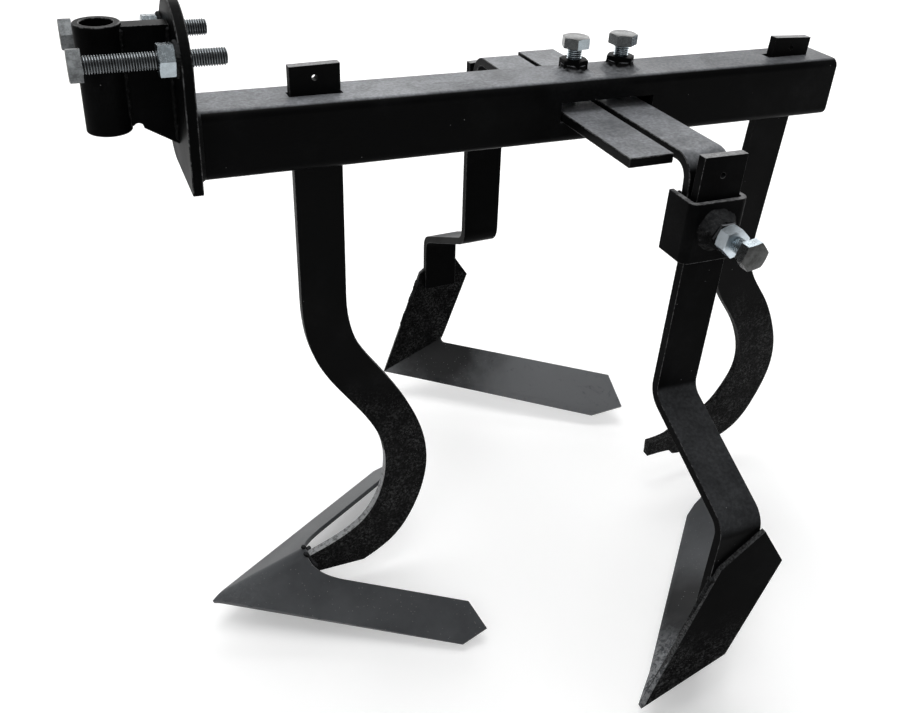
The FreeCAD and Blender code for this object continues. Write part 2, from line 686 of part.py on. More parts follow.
def ground_edge(tip, fold, edge):
    # Wedge that is ground off the upper face along a long wing's cutting edge.
    across = across_wing(fold, edge)
    below = edge.cross(across)
    if below.z > 0:
        below = -below
    start = tip + edge * GROUND_EDGE_START
    wide = across * GROUND_EDGE_WIDTH
    deep = below * GROUND_EDGE_DEPTH
    over = GROUND_EDGE_OVERRUN
    inner = start + wide * (1 + over) - deep * over
    outer = start + deep * (1 + over) - wide * over
    clear = start - (wide + deep) * over
    return prism([tuple(inner), tuple(outer), tuple(clear)], tuple(edge * LONG_WING_LENGTH))


def write_parts():
    os.makedirs("parts", exist_ok=True)
    to_bush = Vector(BUSH_REACH, 0, -(BUSH_BOTTOM + BUSH_TOP) / 2)
    for name, shape in PIECES.items():
        piece = shape.copy()
        piece.translate(to_bush)
        piece.exportStep("parts/" + name + ".step")


make_hitch()
make_set_bolts()
make_middle_shanks()
for side_name, side_sizes in SIDES.items():
    make_side(side_name, side_sizes)
PIECES["share_front"] = make_front_share()
for side_name, side_sizes in SIDES.items():
    PIECES["share_" + side_name] = make_side_share(side_sizes)
write_parts()
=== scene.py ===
# %% [markdown]
# # A weeding plough for a walking tiller
# A square tube carries four shanks. The two in the middle pass down through the tube, and
# the two at the sides hang from flat arms that slide through it. Every part is flat bar,
# tube or folded plate, cut, bent, welded and then painted satin black, and only the
# screws are bright. We load the engineering solids first, because every size and place
# in this lesson comes from them.

# %% Load the solids
import json
import math
import bmesh
import bpy
import mathutils.noise
from mathutils import Matrix, Vector

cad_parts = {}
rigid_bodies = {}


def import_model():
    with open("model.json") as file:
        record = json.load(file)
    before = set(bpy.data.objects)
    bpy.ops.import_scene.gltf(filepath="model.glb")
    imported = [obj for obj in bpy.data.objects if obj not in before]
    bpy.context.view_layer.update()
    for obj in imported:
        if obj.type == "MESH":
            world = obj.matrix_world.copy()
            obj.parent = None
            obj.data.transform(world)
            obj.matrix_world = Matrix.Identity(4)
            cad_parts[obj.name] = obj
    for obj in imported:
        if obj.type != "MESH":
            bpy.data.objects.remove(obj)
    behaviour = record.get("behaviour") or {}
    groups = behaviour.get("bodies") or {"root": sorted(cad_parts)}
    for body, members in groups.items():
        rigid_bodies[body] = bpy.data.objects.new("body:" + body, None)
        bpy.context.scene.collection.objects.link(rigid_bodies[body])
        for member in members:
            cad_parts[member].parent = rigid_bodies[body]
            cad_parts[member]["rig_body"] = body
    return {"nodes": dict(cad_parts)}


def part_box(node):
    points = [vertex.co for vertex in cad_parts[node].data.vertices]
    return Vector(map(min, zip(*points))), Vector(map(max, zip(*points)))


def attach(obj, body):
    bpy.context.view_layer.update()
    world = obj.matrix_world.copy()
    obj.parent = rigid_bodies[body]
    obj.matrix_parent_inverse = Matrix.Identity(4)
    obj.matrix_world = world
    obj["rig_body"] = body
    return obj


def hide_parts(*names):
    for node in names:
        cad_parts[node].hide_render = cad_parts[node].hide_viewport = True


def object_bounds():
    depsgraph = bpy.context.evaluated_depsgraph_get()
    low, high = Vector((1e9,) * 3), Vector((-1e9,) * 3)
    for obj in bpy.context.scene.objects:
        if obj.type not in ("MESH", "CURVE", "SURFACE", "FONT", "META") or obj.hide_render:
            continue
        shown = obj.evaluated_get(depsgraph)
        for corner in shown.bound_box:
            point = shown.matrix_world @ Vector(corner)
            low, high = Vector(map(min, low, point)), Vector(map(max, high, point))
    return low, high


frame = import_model()
solid_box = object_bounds()

# %% [markdown]
# ## The camera
# The photograph was taken from the front left, a little above the beam, with a short
# telephoto lens. A picture's vanishing points give the lens and the angles. The lens axis
# meets the picture above its middle, because the picture was cropped, and the camera's
# shift stands for that crop.

# %% Camera at the photograph's place
IMAGE_WIDTH = 900
IMAGE_HEIGHT = 713
SENSOR_WIDTH = 36.0
FOCAL_PIXELS = 956.36
AXIS_PIXEL = (441.82, 297.31)
CAMERA_PLACE = (-0.0447, -0.7797, 0.2464)
CAMERA_AZIMUTH = 24.025
CAMERA_DOWN = 30.485
CAMERA_ROLL = 3.257
NEAREST_SEEN = 0.01


def make_camera():
    lens = bpy.data.cameras.new("photo_camera")
    lens.sensor_fit = "HORIZONTAL"
    lens.sensor_width = SENSOR_WIDTH
    lens.lens = SENSOR_WIDTH * FOCAL_PIXELS / IMAGE_WIDTH
    lens.shift_x = (IMAGE_WIDTH / 2 - AXIS_PIXEL[0]) / IMAGE_WIDTH
    lens.shift_y = (AXIS_PIXEL[1] - IMAGE_HEIGHT / 2) / IMAGE_WIDTH
    lens.clip_start = NEAREST_SEEN
    camera = bpy.data.objects.new("photo_camera", lens)
    bpy.context.scene.collection.objects.link(camera)
    turn = Matrix.Rotation(math.radians(-CAMERA_AZIMUTH), 4, "Z")
    tilt = Matrix.Rotation(math.radians(90 - CAMERA_DOWN), 4, "X")
    roll = Matrix.Rotation(math.radians(CAMERA_ROLL), 4, "Z")
    camera.matrix_world = Matrix.Translation(CAMERA_PLACE) @ turn @ tilt @ roll
    bpy.context.scene.camera = camera
    return camera


camera = make_camera()
print("lens", round(camera.data.lens, 2), "mm")

# %% [markdown]
# ## Nodes by the handful
# A material is a tree of small nodes. One helper makes a node and links or sets its
# inputs, so that each finish below reads as a recipe.

# %% Helpers for nodes
def add_node(tree, kind, settings=None, **inputs):
    made = tree.nodes.new(kind)
    for name, value in (settings or {}).items():
        setattr(made, name, value)
    for name, value in inputs.items():
        feed(tree, made.inputs[name.replace("_", " ")], value)
    return made


def feed(tree, socket, value):
    if isinstance(value, bpy.types.NodeSocket):
        tree.links.new(value, socket)
    else:
        socket.default_value = value


def calculate(tree, operation, *values, clamp=False):
    made = add_node(tree, "ShaderNodeMath", {"operation": operation, "use_clamp": clamp})
    for socket, value in zip(made.inputs, values):
        feed(tree, socket, value)
    return made.outputs[0]


def ramp(tree, value, low, high, to_low=0.0, to_high=1.0):
    made = add_node(tree, "ShaderNodeMapRange", {"interpolation_type": "SMOOTHSTEP"}, Value=value,
                    From_Min=low, From_Max=high, To_Min=to_low, To_Max=to_high)
    return made.outputs["Result"]


def component(tree, vector, axis):
    return add_node(tree, "ShaderNodeSeparateXYZ", Vector=vector).outputs[axis]


def distance(tree, place, point):
    made = add_node(tree, "ShaderNodeVectorMath", {"operation": "DISTANCE"})
    feed(tree, made.inputs[0], place)
    feed(tree, made.inputs[1], point)
    return made.outputs["Value"]


# %% Helpers for patterns
def noise(tree, place, scale, detail=2.0, roughness=0.5, distortion=0.0):
    made = add_node(tree, "ShaderNodeTexNoise", Vector=place, Scale=scale, Detail=detail,
                    Roughness=roughness, Distortion=distortion)
    return made.outputs["Fac"]


def clouds(tree, place, pattern, edge, to_low=0.0, to_high=1.0):
    # A noise turned into patches: edge gives its values where a patch starts and is full.
    return ramp(tree, noise(tree, place, *pattern), *edge, to_low, to_high)


# A Mix node has sockets for every kind of value, and these are the ones for colours.
MIX_INPUTS = (0, 6, 7)
MIX_RESULT = 2


def mix_colours(tree, share, first, second):
    made = add_node(tree, "ShaderNodeMix", {"data_type": "RGBA"})
    for index, value in zip(MIX_INPUTS, (share, first, second)):
        feed(tree, made.inputs[index], value)
    return made.outputs[MIX_RESULT]


# %% Helpers for whole materials
def empty_material(name):
    material = bpy.data.materials.new(name)
    material.use_nodes = True
    tree = material.node_tree
    tree.nodes.clear()
    shader = tree.nodes.new("ShaderNodeBsdfPrincipled")
    output = tree.nodes.new("ShaderNodeOutputMaterial")
    tree.links.new(shader.outputs[0], output.inputs["Surface"])
    place = tree.nodes.new("ShaderNodeTexCoord").outputs["Object"]
    return material, tree, shader, place


def finish_surface(tree, shader, colour, gloss, height, bump, **fixed):
    # bump is its strength and its depth in metres, and fixed is what is the same all over.
    raised = add_node(tree, "ShaderNodeBump", Strength=bump[0], Distance=bump[1], Height=height)
    feed(tree, shader.inputs["Base Color"], colour)
    feed(tree, shader.inputs["Roughness"], gloss)
    feed(tree, shader.inputs["Normal"], raised.outputs["Normal"])
    for name, value in fixed.items():
        shader.inputs[name.replace("_", " ")].default_value = value


# %% [markdown]
# ## Satin black paint
# Sprayed enamel on hot-rolled bar is never even. It is a little duller where it went on
# dry, it has an orange-peel skin a fraction of a millimetre deep, and it carries dust and
# pale specks. Every upward face is painted with a grey, slightly blue film, which is
# partly dust and partly painted sheen, and on the beam it fades towards the rear end as
# the painted sheen falls off. Where the bar was heated and hammered, the scale shows
# through as a rough, mottled skin. One function makes all of these, so that the parts
# belong together.

# %% Colours of the paint
PAINT_BLACK = (0.0022, 0.0023, 0.0024, 1.0)
PAINT_DUST = (0.012, 0.0124, 0.0130, 1.0)
PAINT_SPECK = (0.13, 0.13, 0.13, 1.0)
# The pale film on upward faces is partly dust and partly painted sheen.
TOP_DUST_AND_SHEEN = (0.280, 0.291, 0.309, 1.0)
SCALE_GREY = (0.060, 0.0605, 0.061, 1.0)
SCALE_PALE = (0.095, 0.095, 0.095, 1.0)
RIM_BLACK = (0.010, 0.0102, 0.0105, 1.0)
EDGE_GREY = (0.075, 0.076, 0.078, 1.0)
RUBBED_GREY = (0.10, 0.102, 0.105, 1.0)
RIM_PALE_GREY = (0.20, 0.202, 0.205, 1.0)
BARE_STEEL = (0.28, 0.285, 0.29, 1.0)

# %% Dust, painted sheen and specks
# A noise is given by its scale, detail, roughness and distortion, and a scatter of specks
# by its scale, the specks' size and how rare they are. A larger scale is a finer pattern.
SPECK_FIELDS = (31.0, 1.0)
PAINT_SPECKS = (115.0, 0.055, 0.60)
DUST_CLOUDS = (14.0, 5.0, 0.62)
DUST_EDGE = (0.45, 0.80)
DUST_GRAIN = (420.0, 2.0)
DUST_STRENGTH = 0.9
DUST_SHEEN_CLOUDS = (26.0, 6.0, 0.72, 0.8)
DUST_SHEEN_EDGE = (0.32, 0.70)
DUST_SHEEN_THIN = 0.56
DUST_SHEEN_GRAIN = (300.0, 3.0, 0.6)
GRAIN_EDGE = (0.30, 0.70)
GRAIN_THIN = 0.65
FAR_END_DUST_AND_SHEEN = 0.55


def speckled(tree, place, colour, speck, scale, size, rarity):
    # Small sharp specks, only where a slow noise is high.
    spots = add_node(tree, "ShaderNodeTexVoronoi", Vector=place, Scale=scale)
    small = calculate(tree, "LESS_THAN", spots.outputs["Distance"], size)
    rare = calculate(tree, "GREATER_THAN", noise(tree, place, *SPECK_FIELDS), rarity)
    return mix_colours(tree, calculate(tree, "MULTIPLY", small, rare), colour, speck)


def dusty_black(tree, place):
    # Broad clouds of dust and a few sharp pale specks over the black.
    cloud = clouds(tree, place, DUST_CLOUDS, DUST_EDGE, to_high=DUST_STRENGTH)
    dust = calculate(tree, "MULTIPLY", cloud, noise(tree, place, *DUST_GRAIN))
    colour = mix_colours(tree, dust, PAINT_BLACK, PAINT_DUST)
    return speckled(tree, place, colour, PAINT_SPECK, *PAINT_SPECKS)


def settled_dust_and_sheen(tree, place, colour, amount, along, facing):
    # Dust and painted sheen on upward faces, as one pale film that makes them lighter.
    # facing is how far a face looks up where the film starts and is full, and along gives two
    # places in X between which it fades. On the beam this fade is a painted falloff of the sheen.
    outward = tree.nodes.new("ShaderNodeNewGeometry").outputs["Normal"]
    share = ramp(tree, component(tree, outward, "Z"), *facing, to_high=amount)
    patch = clouds(tree, place, DUST_SHEEN_CLOUDS, DUST_SHEEN_EDGE, to_low=DUST_SHEEN_THIN)
    grain = clouds(tree, place, DUST_SHEEN_GRAIN, GRAIN_EDGE, to_low=GRAIN_THIN)
    share = calculate(tree, "MULTIPLY", share, calculate(tree, "MULTIPLY", patch, grain))
    if along is not None:
        fading = ramp(tree, component(tree, place, "X"), *along, to_low=1.0, to_high=FAR_END_DUST_AND_SHEEN)
        share = calculate(tree, "MULTIPLY", share, fading)
    return mix_colours(tree, share, colour, TOP_DUST_AND_SHEEN)


# %% Mill scale
SCALE_WAVES = (22.0, 3.0)
SCALE_WAVE_HEIGHT = 0.08
SCALE_MOTTLE = (300.0, 7.0, 0.78, 0.4)
SCALE_MOTTLE_EDGE = (0.44, 0.66)
SCALE_PATCHES = (55.0, 4.0, 0.6)
SCALE_PATCH_EDGE = (0.36, 0.64)
SCALE_THIN = 0.25
SCALE_PITS = (340.0, 0.16, 0.50)
PIT_STRENGTH = 0.7
SCALE_DULLNESS = 0.14


def fading_below(tree, place, full, level, fade):
    # A share that is full under a level and fades out, along a wavy line, above it.
    waves = noise(tree, place, *SCALE_WAVES)
    wave = calculate(tree, "MULTIPLY_ADD", waves, SCALE_WAVE_HEIGHT, -SCALE_WAVE_HEIGHT / 2)
    height = calculate(tree, "ADD", component(tree, place, "Z"), wave)
    return ramp(tree, height, level - fade, level + fade, full, 0.0)


def scaled(tree, place, strength, colour, gloss, height):
    # Mill scale over the paint, in paler patches and pits that are duller and stand up.
    mottle = noise(tree, place, *SCALE_MOTTLE)
    patches = clouds(tree, place, SCALE_PATCHES, SCALE_PATCH_EDGE, to_low=SCALE_THIN)
    lifted = calculate(tree, "MULTIPLY", ramp(tree, mottle, *SCALE_MOTTLE_EDGE), patches)
    colour = mix_colours(tree, calculate(tree, "MULTIPLY", lifted, strength), colour, SCALE_GREY)
    pits = speckled(tree, place, colour, SCALE_PALE, *SCALE_PITS)
    colour = mix_colours(tree, calculate(tree, "MULTIPLY", strength, PIT_STRENGTH), colour, pits)
    gloss = calculate(tree, "MULTIPLY_ADD", strength, SCALE_DULLNESS, gloss)
    height = calculate(tree, "ADD", height, calculate(tree, "MULTIPLY", mottle, strength))
    return colour, gloss, height


# %% Paint
GLOSS_CLOUDS = (9.0, 3.0)
GLOSS_EDGE = (0.3, 0.7)
GLOSSIER = 0.06
DULLER = 0.08
ORANGE_PEEL = (620.0, 2.0)
PAINT_BUMP = (0.6, 0.0010)
LEVEL_FACE = (0.80, 0.995)
ARM_FACE = (0.42, 1.0)
WELD_FACE = (0.35, 0.92)
SLOPE = (0.12, 0.50)


def paint(name, rough=0.40, scale=0.0, scale_below=None, fade=0.05, peel=0.10, sheen_level=0.015,
          top_dust_and_sheen=0.0, along=None, facing=LEVEL_FACE):
    # scale is how rough the mill scale stands up; scale_below keeps it under a height.
    material, tree, shader, place = empty_material(name)
    colour = dusty_black(tree, place)
    gloss = clouds(tree, place, GLOSS_CLOUDS, GLOSS_EDGE, rough - GLOSSIER, rough + DULLER)
    height = calculate(tree, "MULTIPLY", noise(tree, place, *ORANGE_PEEL), peel)
    # A pale film on upward faces, partly dust and partly painted sheen.
    if top_dust_and_sheen:
        colour = settled_dust_and_sheen(tree, place, colour, top_dust_and_sheen, along, facing)
    if scale:
        strength = scale
        if scale_below is not None:
            strength = fading_below(tree, place, scale, scale_below, fade)
        colour, gloss, height = scaled(tree, place, strength, colour, gloss, height)
    finish_surface(tree, shader, colour, gloss, height, PAINT_BUMP, Specular_IOR_Level=sheen_level)
    return material


# %% Paint rubbed thin
WORN_TOP = 0.67
WORN_DETAIL = (5.0, 0.68)
WORN_GRIT = (300.0, 4.0, 0.65)
WORN_BUMP = (0.5, 0.0008)
WHOLE_ROUGH = 0.38
WORN_ROUGH = 0.55


def worn_edge(name, base, worn, share, grain=130.0, sheen_level=0.20, soft=0.05):
    # Paint rubbed thin along an edge: patches of worn colour over the base.
    material, tree, shader, place = empty_material(name)
    middle = WORN_TOP - share / 2
    patch = clouds(tree, place, (grain, *WORN_DETAIL), (middle - soft, middle + soft))
    colour = mix_colours(tree, patch, base, worn)
    gloss = ramp(tree, patch, 0.0, 1.0, WHOLE_ROUGH, WORN_ROUGH)
    grit = noise(tree, place, *WORN_GRIT)
    finish_surface(tree, shader, colour, gloss, grit, WORN_BUMP, Specular_IOR_Level=sheen_level)
    return material


# %% The paints of this plough
# The pale film on upward faces in these paints is partly dust and partly painted sheen, and on the beam it
# fades towards the rear.
black_paint = paint("black_paint")
beam_paint = paint("beam_paint", rough=0.36, sheen_level=0.030, top_dust_and_sheen=1.0, along=(0.10, 0.75))
arm_paint = paint("arm_paint", rough=0.36, sheen_level=0.040, top_dust_and_sheen=0.93, facing=ARM_FACE)
shank_paint = paint("shank_paint", rough=0.38, top_dust_and_sheen=0.16, facing=SLOPE)
edge_paint = worn_edge("edge_paint", PAINT_BLACK, EDGE_GREY, share=0.30, grain=260.0)
rim_paint = worn_edge("rim_paint", EDGE_GREY, RIM_PALE_GREY, share=0.36, grain=210.0)
upright_rim = worn_edge("upright_rim", RIM_BLACK, EDGE_GREY, share=0.36, grain=520.0,
                        sheen_level=0.10, soft=0.14)
bare_edge = worn_edge("bare_edge", RUBBED_GREY, BARE_STEEL, share=0.42, grain=240.0,
                      sheen_level=0.3)
forged_paint = paint("forged_paint", rough=0.44, scale=1.0, scale_below=-0.375,
                     sheen_level=0.035)
rear_forged_paint = paint("rear_forged_paint", rough=0.44, scale=1.0, scale_below=-0.345,
                          sheen_level=0.035)
upright_paint = paint("upright_paint", rough=0.42, scale=1.0, scale_below=-0.490, fade=0.035,
                      sheen_level=0.006)
far_upright_paint = paint("far_upright_paint", rough=0.42, scale=1.0, scale_below=-0.41,
                          fade=0.06)
weld_paint = paint("weld_paint", scale=0.2, peel=0.35, sheen_level=0.05, top_dust_and_sheen=1.0,
                   facing=WELD_FACE)
foot_weld_paint = paint("foot_weld_paint", rough=0.44, scale=0.5, peel=0.35, sheen_level=0.03,
                        top_dust_and_sheen=0.10, facing=SLOPE)

# %% [markdown]
# ## Share steel
# The long wings are rolled plate under a thin coat. They look a shade greyer and smoother
# than the bar, with a soft bluish sheen and pale specks. Towards the nose, where the
# plate was folded hot and welded, the coat is rubbed pale and mottled. On each side share
# a soft dark patch, a painted dark reflection, crosses the long wing beside the shank,
# and the far share's whole plate is painted paler, a painted sheen. Noises give the
# mottle, and distances from a point give the nose and the patch, with a wavy rim.

# %% Colours and patterns of the shares
SHARE_GREY = (0.024, 0.0262, 0.0295, 1.0)
SHARE_PALE = (0.052, 0.0555, 0.060, 1.0)
SHARE_EDGE_PALE = (0.11, 0.113, 0.118, 1.0)
# The pale colour below serves the rubbed nose and, through the lift, the painted sheen.
PALE_WEAR_AND_SHEEN = (0.200, 0.206, 0.214, 1.0)
# The dark colour of the painted dark reflections on the side shares' long wings.
DARK_REFLECTION_COLOUR = (0.006, 0.0063, 0.0068, 1.0)
SHARE_HAZE = (8.0, 6.0, 0.62)
HAZE_EDGE = (0.36, 0.66)
NOSE_CORE = 0.20
NOSE_MOTTLE = (150.0, 6.0, 0.72, 1.0)
NOSE_MOTTLE_EDGE = (0.40, 0.62)
SHARE_SMEARS = (42.0, 4.0, 0.6, 2.5)
SMEAR_EDGE = (0.58, 0.80)
SMEAR_STRENGTH = 0.6
DARK_REFLECTION_WAVES = (30.0, 4.0)
DARK_REFLECTION_EDGE = (0.8, 2.0)
SHARE_SPECKS = (240.0, 0.12, 0.42)
SHARE_PEEL = (500.0, 2.0)
SHARE_PEEL_HEIGHT = 0.10
NOSE_HEIGHT = 0.8
PLATE_HEIGHT = 0.06
SHARE_GLOSS = (7.0, 2.0)
SHARE_ROUGH = (0.34, 0.46)
SHARE_BUMP = (0.5, 0.0008)


# %% Share plate
def painted_dark_reflection(tree, place, colour, centre, reach, darkness):
    # A painted dark reflection: a soft dark patch with a wavy rim round a centre.
    waves = noise(tree, place, *DARK_REFLECTION_WAVES)
    wavy = calculate(tree, "MULTIPLY_ADD", waves, reach, distance(tree, place, centre))
    share = ramp(tree, wavy, reach * DARK_REFLECTION_EDGE[0], reach * DARK_REFLECTION_EDGE[1], darkness, 0.0)
    return mix_colours(tree, share, colour, DARK_REFLECTION_COLOUR)


def share_height(tree, place, mottle, near_nose):
    # A fine peel, and the mottle, which stands up most at the nose.
    strength = calculate(tree, "MULTIPLY_ADD", near_nose, NOSE_HEIGHT, PLATE_HEIGHT)
    peel = noise(tree, place, *SHARE_PEEL)
    raised = calculate(tree, "MULTIPLY", mottle, strength)
    return calculate(tree, "MULTIPLY_ADD", peel, SHARE_PEEL_HEIGHT, raised)


def share_plate(name, nose, reach, rubbed, lift, sheen_level, dark_reflection=None):
    # nose is the point that is rubbed, reach how far that goes, rubbed how pale it is, and
    # lift how much paler the whole plate is, which on the far share is a painted sheen. The
    # last argument gives a painted dark reflection: its centre, reach and darkness.
    material, tree, shader, place = empty_material(name)
    near_nose = ramp(tree, distance(tree, place, nose), reach * NOSE_CORE, reach, 1.0, 0.0)
    haze = clouds(tree, place, SHARE_HAZE, HAZE_EDGE)
    # The lift pales the whole plate; on the far share it is a painted sheen.
    colour = mix_colours(tree, lift, mix_colours(tree, haze, SHARE_GREY, SHARE_PALE), PALE_WEAR_AND_SHEEN)
    mottle = noise(tree, place, *NOSE_MOTTLE)
    mottled = ramp(tree, mottle, *NOSE_MOTTLE_EDGE, to_high=rubbed)
    colour = mix_colours(tree, calculate(tree, "MULTIPLY", near_nose, mottled), colour, PALE_WEAR_AND_SHEEN)
    smears = clouds(tree, place, SHARE_SMEARS, SMEAR_EDGE, to_high=SMEAR_STRENGTH)
    colour = mix_colours(tree, smears, colour, SHARE_PALE)
    # A painted dark reflection across a side share's long wing.
    if dark_reflection:
        colour = painted_dark_reflection(tree, place, colour, *dark_reflection)
    colour = speckled(tree, place, colour, PAINT_SPECK, *SHARE_SPECKS)
    gloss = clouds(tree, place, SHARE_GLOSS, GLOSS_EDGE, *SHARE_ROUGH)
    height = share_height(tree, place, mottle, near_nose)
    finish_surface(tree, shader, colour, gloss, height, SHARE_BUMP, Specular_IOR_Level=sheen_level)
    return material


share_edge = worn_edge("share_edge", SHARE_GREY, SHARE_EDGE_PALE, share=0.5)

# %% [markdown]
# ## Zinc-plated screws
# Bright zinc is a metal with a bluish cast. Tumbling in the plating drum leaves fine
# scuffs, so the roughness varies in small patches. The thread's roots are painted dark,
# partly grime and partly painted shade. The ends of the heads were forged and stayed
# dull, and the wrench has burnished the flats that it gripped.

# %% Zinc
# The first, brightest zinc colour is a painted highlight, used on the lock nuts.
ZINC_PAINTED_HIGHLIGHT = (0.66, 0.73, 0.78, 1.0)
ZINC_BRIGHT = (0.40, 0.455, 0.49, 1.0)
ZINC_MIDDLE = (0.20, 0.217, 0.228, 1.0)
ZINC_GREY = (0.17, 0.18, 0.185, 1.0)
ZINC_SHADE = (0.100, 0.106, 0.108, 1.0)
ZINC_DARK = (0.050, 0.051, 0.053, 1.0)
FORGED_GREY = (0.085, 0.087, 0.086, 1.0)
FORGED_DARK = (0.045, 0.046, 0.045, 1.0)
ZINC_STREAKS = (700.0, 3.0, 0.6)
ZINC_CLOUDS = (160.0, 2.0, 0.5)
CLOUD_SHARE = 0.6
STREAK_SHARE = 0.4
GRIME_EDGE = (0.36, 0.66)
ZINC_SCUFFS = (420.0, 4.0, 0.62, 0.6)
SCUFFED = 0.10
ZINC_BUMP = (0.12, 0.0003)


def zinc(name, bright, dark, dull, rough):
    # Fine streaks of the dark tone over the bright one; dull is how strong they are.
    material, tree, shader, place = empty_material(name)
    streaks = calculate(tree, "MULTIPLY", noise(tree, place, *ZINC_STREAKS), STREAK_SHARE)
    cloud = noise(tree, place, *ZINC_CLOUDS)
    grime = ramp(tree, calculate(tree, "MULTIPLY_ADD", cloud, CLOUD_SHARE, streaks), *GRIME_EDGE,
                 to_high=dull)
    scuffs = noise(tree, place, *ZINC_SCUFFS)
    gloss = ramp(tree, scuffs, *GLOSS_EDGE, rough - GLOSSIER, rough + SCUFFED)
    colour = mix_colours(tree, grime, bright, dark)
    finish_surface(tree, shader, colour, gloss, scuffs, ZINC_BUMP, Metallic=1.0)
    return material


bright_zinc = zinc("bright_zinc", ZINC_BRIGHT, ZINC_GREY, dull=0.30, rough=0.20)
head_zinc = zinc("head_zinc", ZINC_SHADE, ZINC_DARK, dull=0.50, rough=0.26)
gripped_zinc = zinc("gripped_zinc", ZINC_BRIGHT, ZINC_GREY, dull=0.40, rough=0.18)
# The lock nuts' zinc is brighter than the rest, a painted highlight on their facets.
lock_zinc = zinc("lock_zinc", ZINC_PAINTED_HIGHLIGHT, ZINC_BRIGHT, dull=0.40, rough=0.34)
head_face = zinc("head_face", FORGED_GREY, FORGED_DARK, dull=0.90, rough=0.34)
dull_zinc = zinc("dull_zinc", ZINC_GREY, ZINC_DARK, dull=0.75, rough=0.38)
thread_zinc = zinc("thread_zinc", ZINC_BRIGHT, ZINC_MIDDLE, dull=0.60, rough=0.24)
dull_thread = zinc("dull_thread", ZINC_MIDDLE, ZINC_GREY, dull=0.50, rough=0.28)
# The thread's roots: partly grime and partly painted shade.
thread_root_grime_and_shade = zinc("thread_root_grime_and_shade", ZINC_DARK, PAINT_BLACK, dull=0.80, rough=0.50)
print(len(bpy.data.materials), "materials")

# %% [markdown]
# ## Skins with real edges
# The solids have knife-sharp edges, and no sawn bar or sheared plate has those. Each
# solid gets a skin: its own mesh, merged, with every edge broken by a narrow bevel of
# three steps. The bevel's faces get a second material, the paint rubbed thin. Weighted
# normals keep the wide faces flat under smooth shading.

# %% Helpers for meshes and pieces
def new_object(name, mesh):
    made = bpy.data.objects.new(name, mesh)
    bpy.context.scene.collection.objects.link(made)
    return made


def write_mesh(shape, mesh):
    shape.to_mesh(mesh)
    shape.free()
    return mesh


def apply_modifiers(made):
    bpy.context.view_layer.update()
    evaluated = made.evaluated_get(bpy.context.evaluated_depsgraph_get())
    baked = bpy.data.meshes.new_from_object(evaluated)
    made.modifiers.clear()
    made.data = baked
    return made


def body_of(node):
    return frame["nodes"][node]["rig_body"]


def dress(made, body, slot, *replaced):
    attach(made, body)
    if replaced:
        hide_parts(*replaced)
    return made


# %% Skins
SHARP_ANGLE = math.radians(38)
FLAT_ANGLE = math.radians(0.3)
MERGE = 2e-6
BEVEL_STEPS = 3


def merged_copy(node):
    mesh = frame["nodes"][node].data.copy()
    shape = bmesh.new()
    shape.from_mesh(mesh)
    bmesh.ops.remove_doubles(shape, verts=shape.verts, dist=MERGE)
    bmesh.ops.dissolve_limit(shape, angle_limit=FLAT_ANGLE, verts=shape.verts, edges=shape.edges)
    bmesh.ops.recalc_face_normals(shape, faces=shape.faces)
    return write_mesh(shape, mesh)


def skin(node, bevel, face_material, edge_material, slot, reshape=None):
    made = new_object(node + "_skin", merged_copy(node))
    if reshape:
        reshape(made.data)
    made.data.materials.clear()
    made.data.materials.append(face_material)
    made.data.materials.append(edge_material)
    cut = made.modifiers.new("broken edges", "BEVEL")
    cut.width = bevel
    cut.segments = BEVEL_STEPS
    cut.limit_method = "ANGLE"
    cut.angle_limit = SHARP_ANGLE
    cut.material = 1
    apply_modifiers(made)
    made.data.shade_smooth()
    made.data.set_sharp_from_angle(angle=SHARP_ANGLE)
    made.modifiers.new("flat faces", "WEIGHTED_NORMAL").keep_sharp = True
    apply_modifiers(made)
    return dress(made, body_of(node), slot, node)


def repaint(made, material, chosen):
    # A second finish on the faces that chosen picks by their direction and middle.
    made.data.materials.append(material)
    index = len(made.data.materials) - 1
    for face in made.data.polygons:
        if chosen(face.normal, face.center):
            face.material_index = index
    return made


# %% Skins of the hitch, beam, arms, straps and shanks
BAR_EDGE = 0.0009
PLATE_EDGE = 0.0012
TOP_FACE = 0.93
SAWN_END = 0.01
FRONT_EDGE_SIDE = 0.5
FRONT_EDGE_TILT = 0.4
FRONT_EDGE_BARE = -0.44


def skin_shank(end, finish):
    # The sawn upper end is painted as pale as a strap's rim.
    shank = skin("shank_" + end, BAR_EDGE, finish, edge_paint, "black_paint")
    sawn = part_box("shank_" + end)[1].z - SAWN_END
    return repaint(shank, rim_paint, lambda normal, middle: normal.z > TOP_FACE and middle.z > sawn)


def is_bare_front(normal, middle):
    # The forward edge of the front shank, below the height from which the soil rubs it.
    forward = abs(normal.y) < FRONT_EDGE_SIDE and normal.z - normal.x > FRONT_EDGE_TILT
    return forward and middle.z < FRONT_EDGE_BARE


for node in ("hitch_web", "hitch_bush"):
    skin(node, BAR_EDGE, black_paint, edge_paint, "black_paint")
skin("main_beam", BAR_EDGE, beam_paint, edge_paint, "black_paint")
skin("hitch_plate", PLATE_EDGE, black_paint, edge_paint, "black_paint")
for side in ("near", "far"):
    skin("arm_" + side, BAR_EDGE, arm_paint, edge_paint, "black_paint")
    strap = skin("clamp_strap_" + side, BAR_EDGE, black_paint, edge_paint, "black_paint")
    # Each strap's upward rim is painted pale.
    repaint(strap, rim_paint, lambda normal, middle: normal.z > TOP_FACE)
    skin_shank(side, shank_paint)
repaint(skin_shank("front", forged_paint), bare_edge, is_bare_front)
skin_shank("rear", rear_forged_paint)
print("bars and tube skinned")

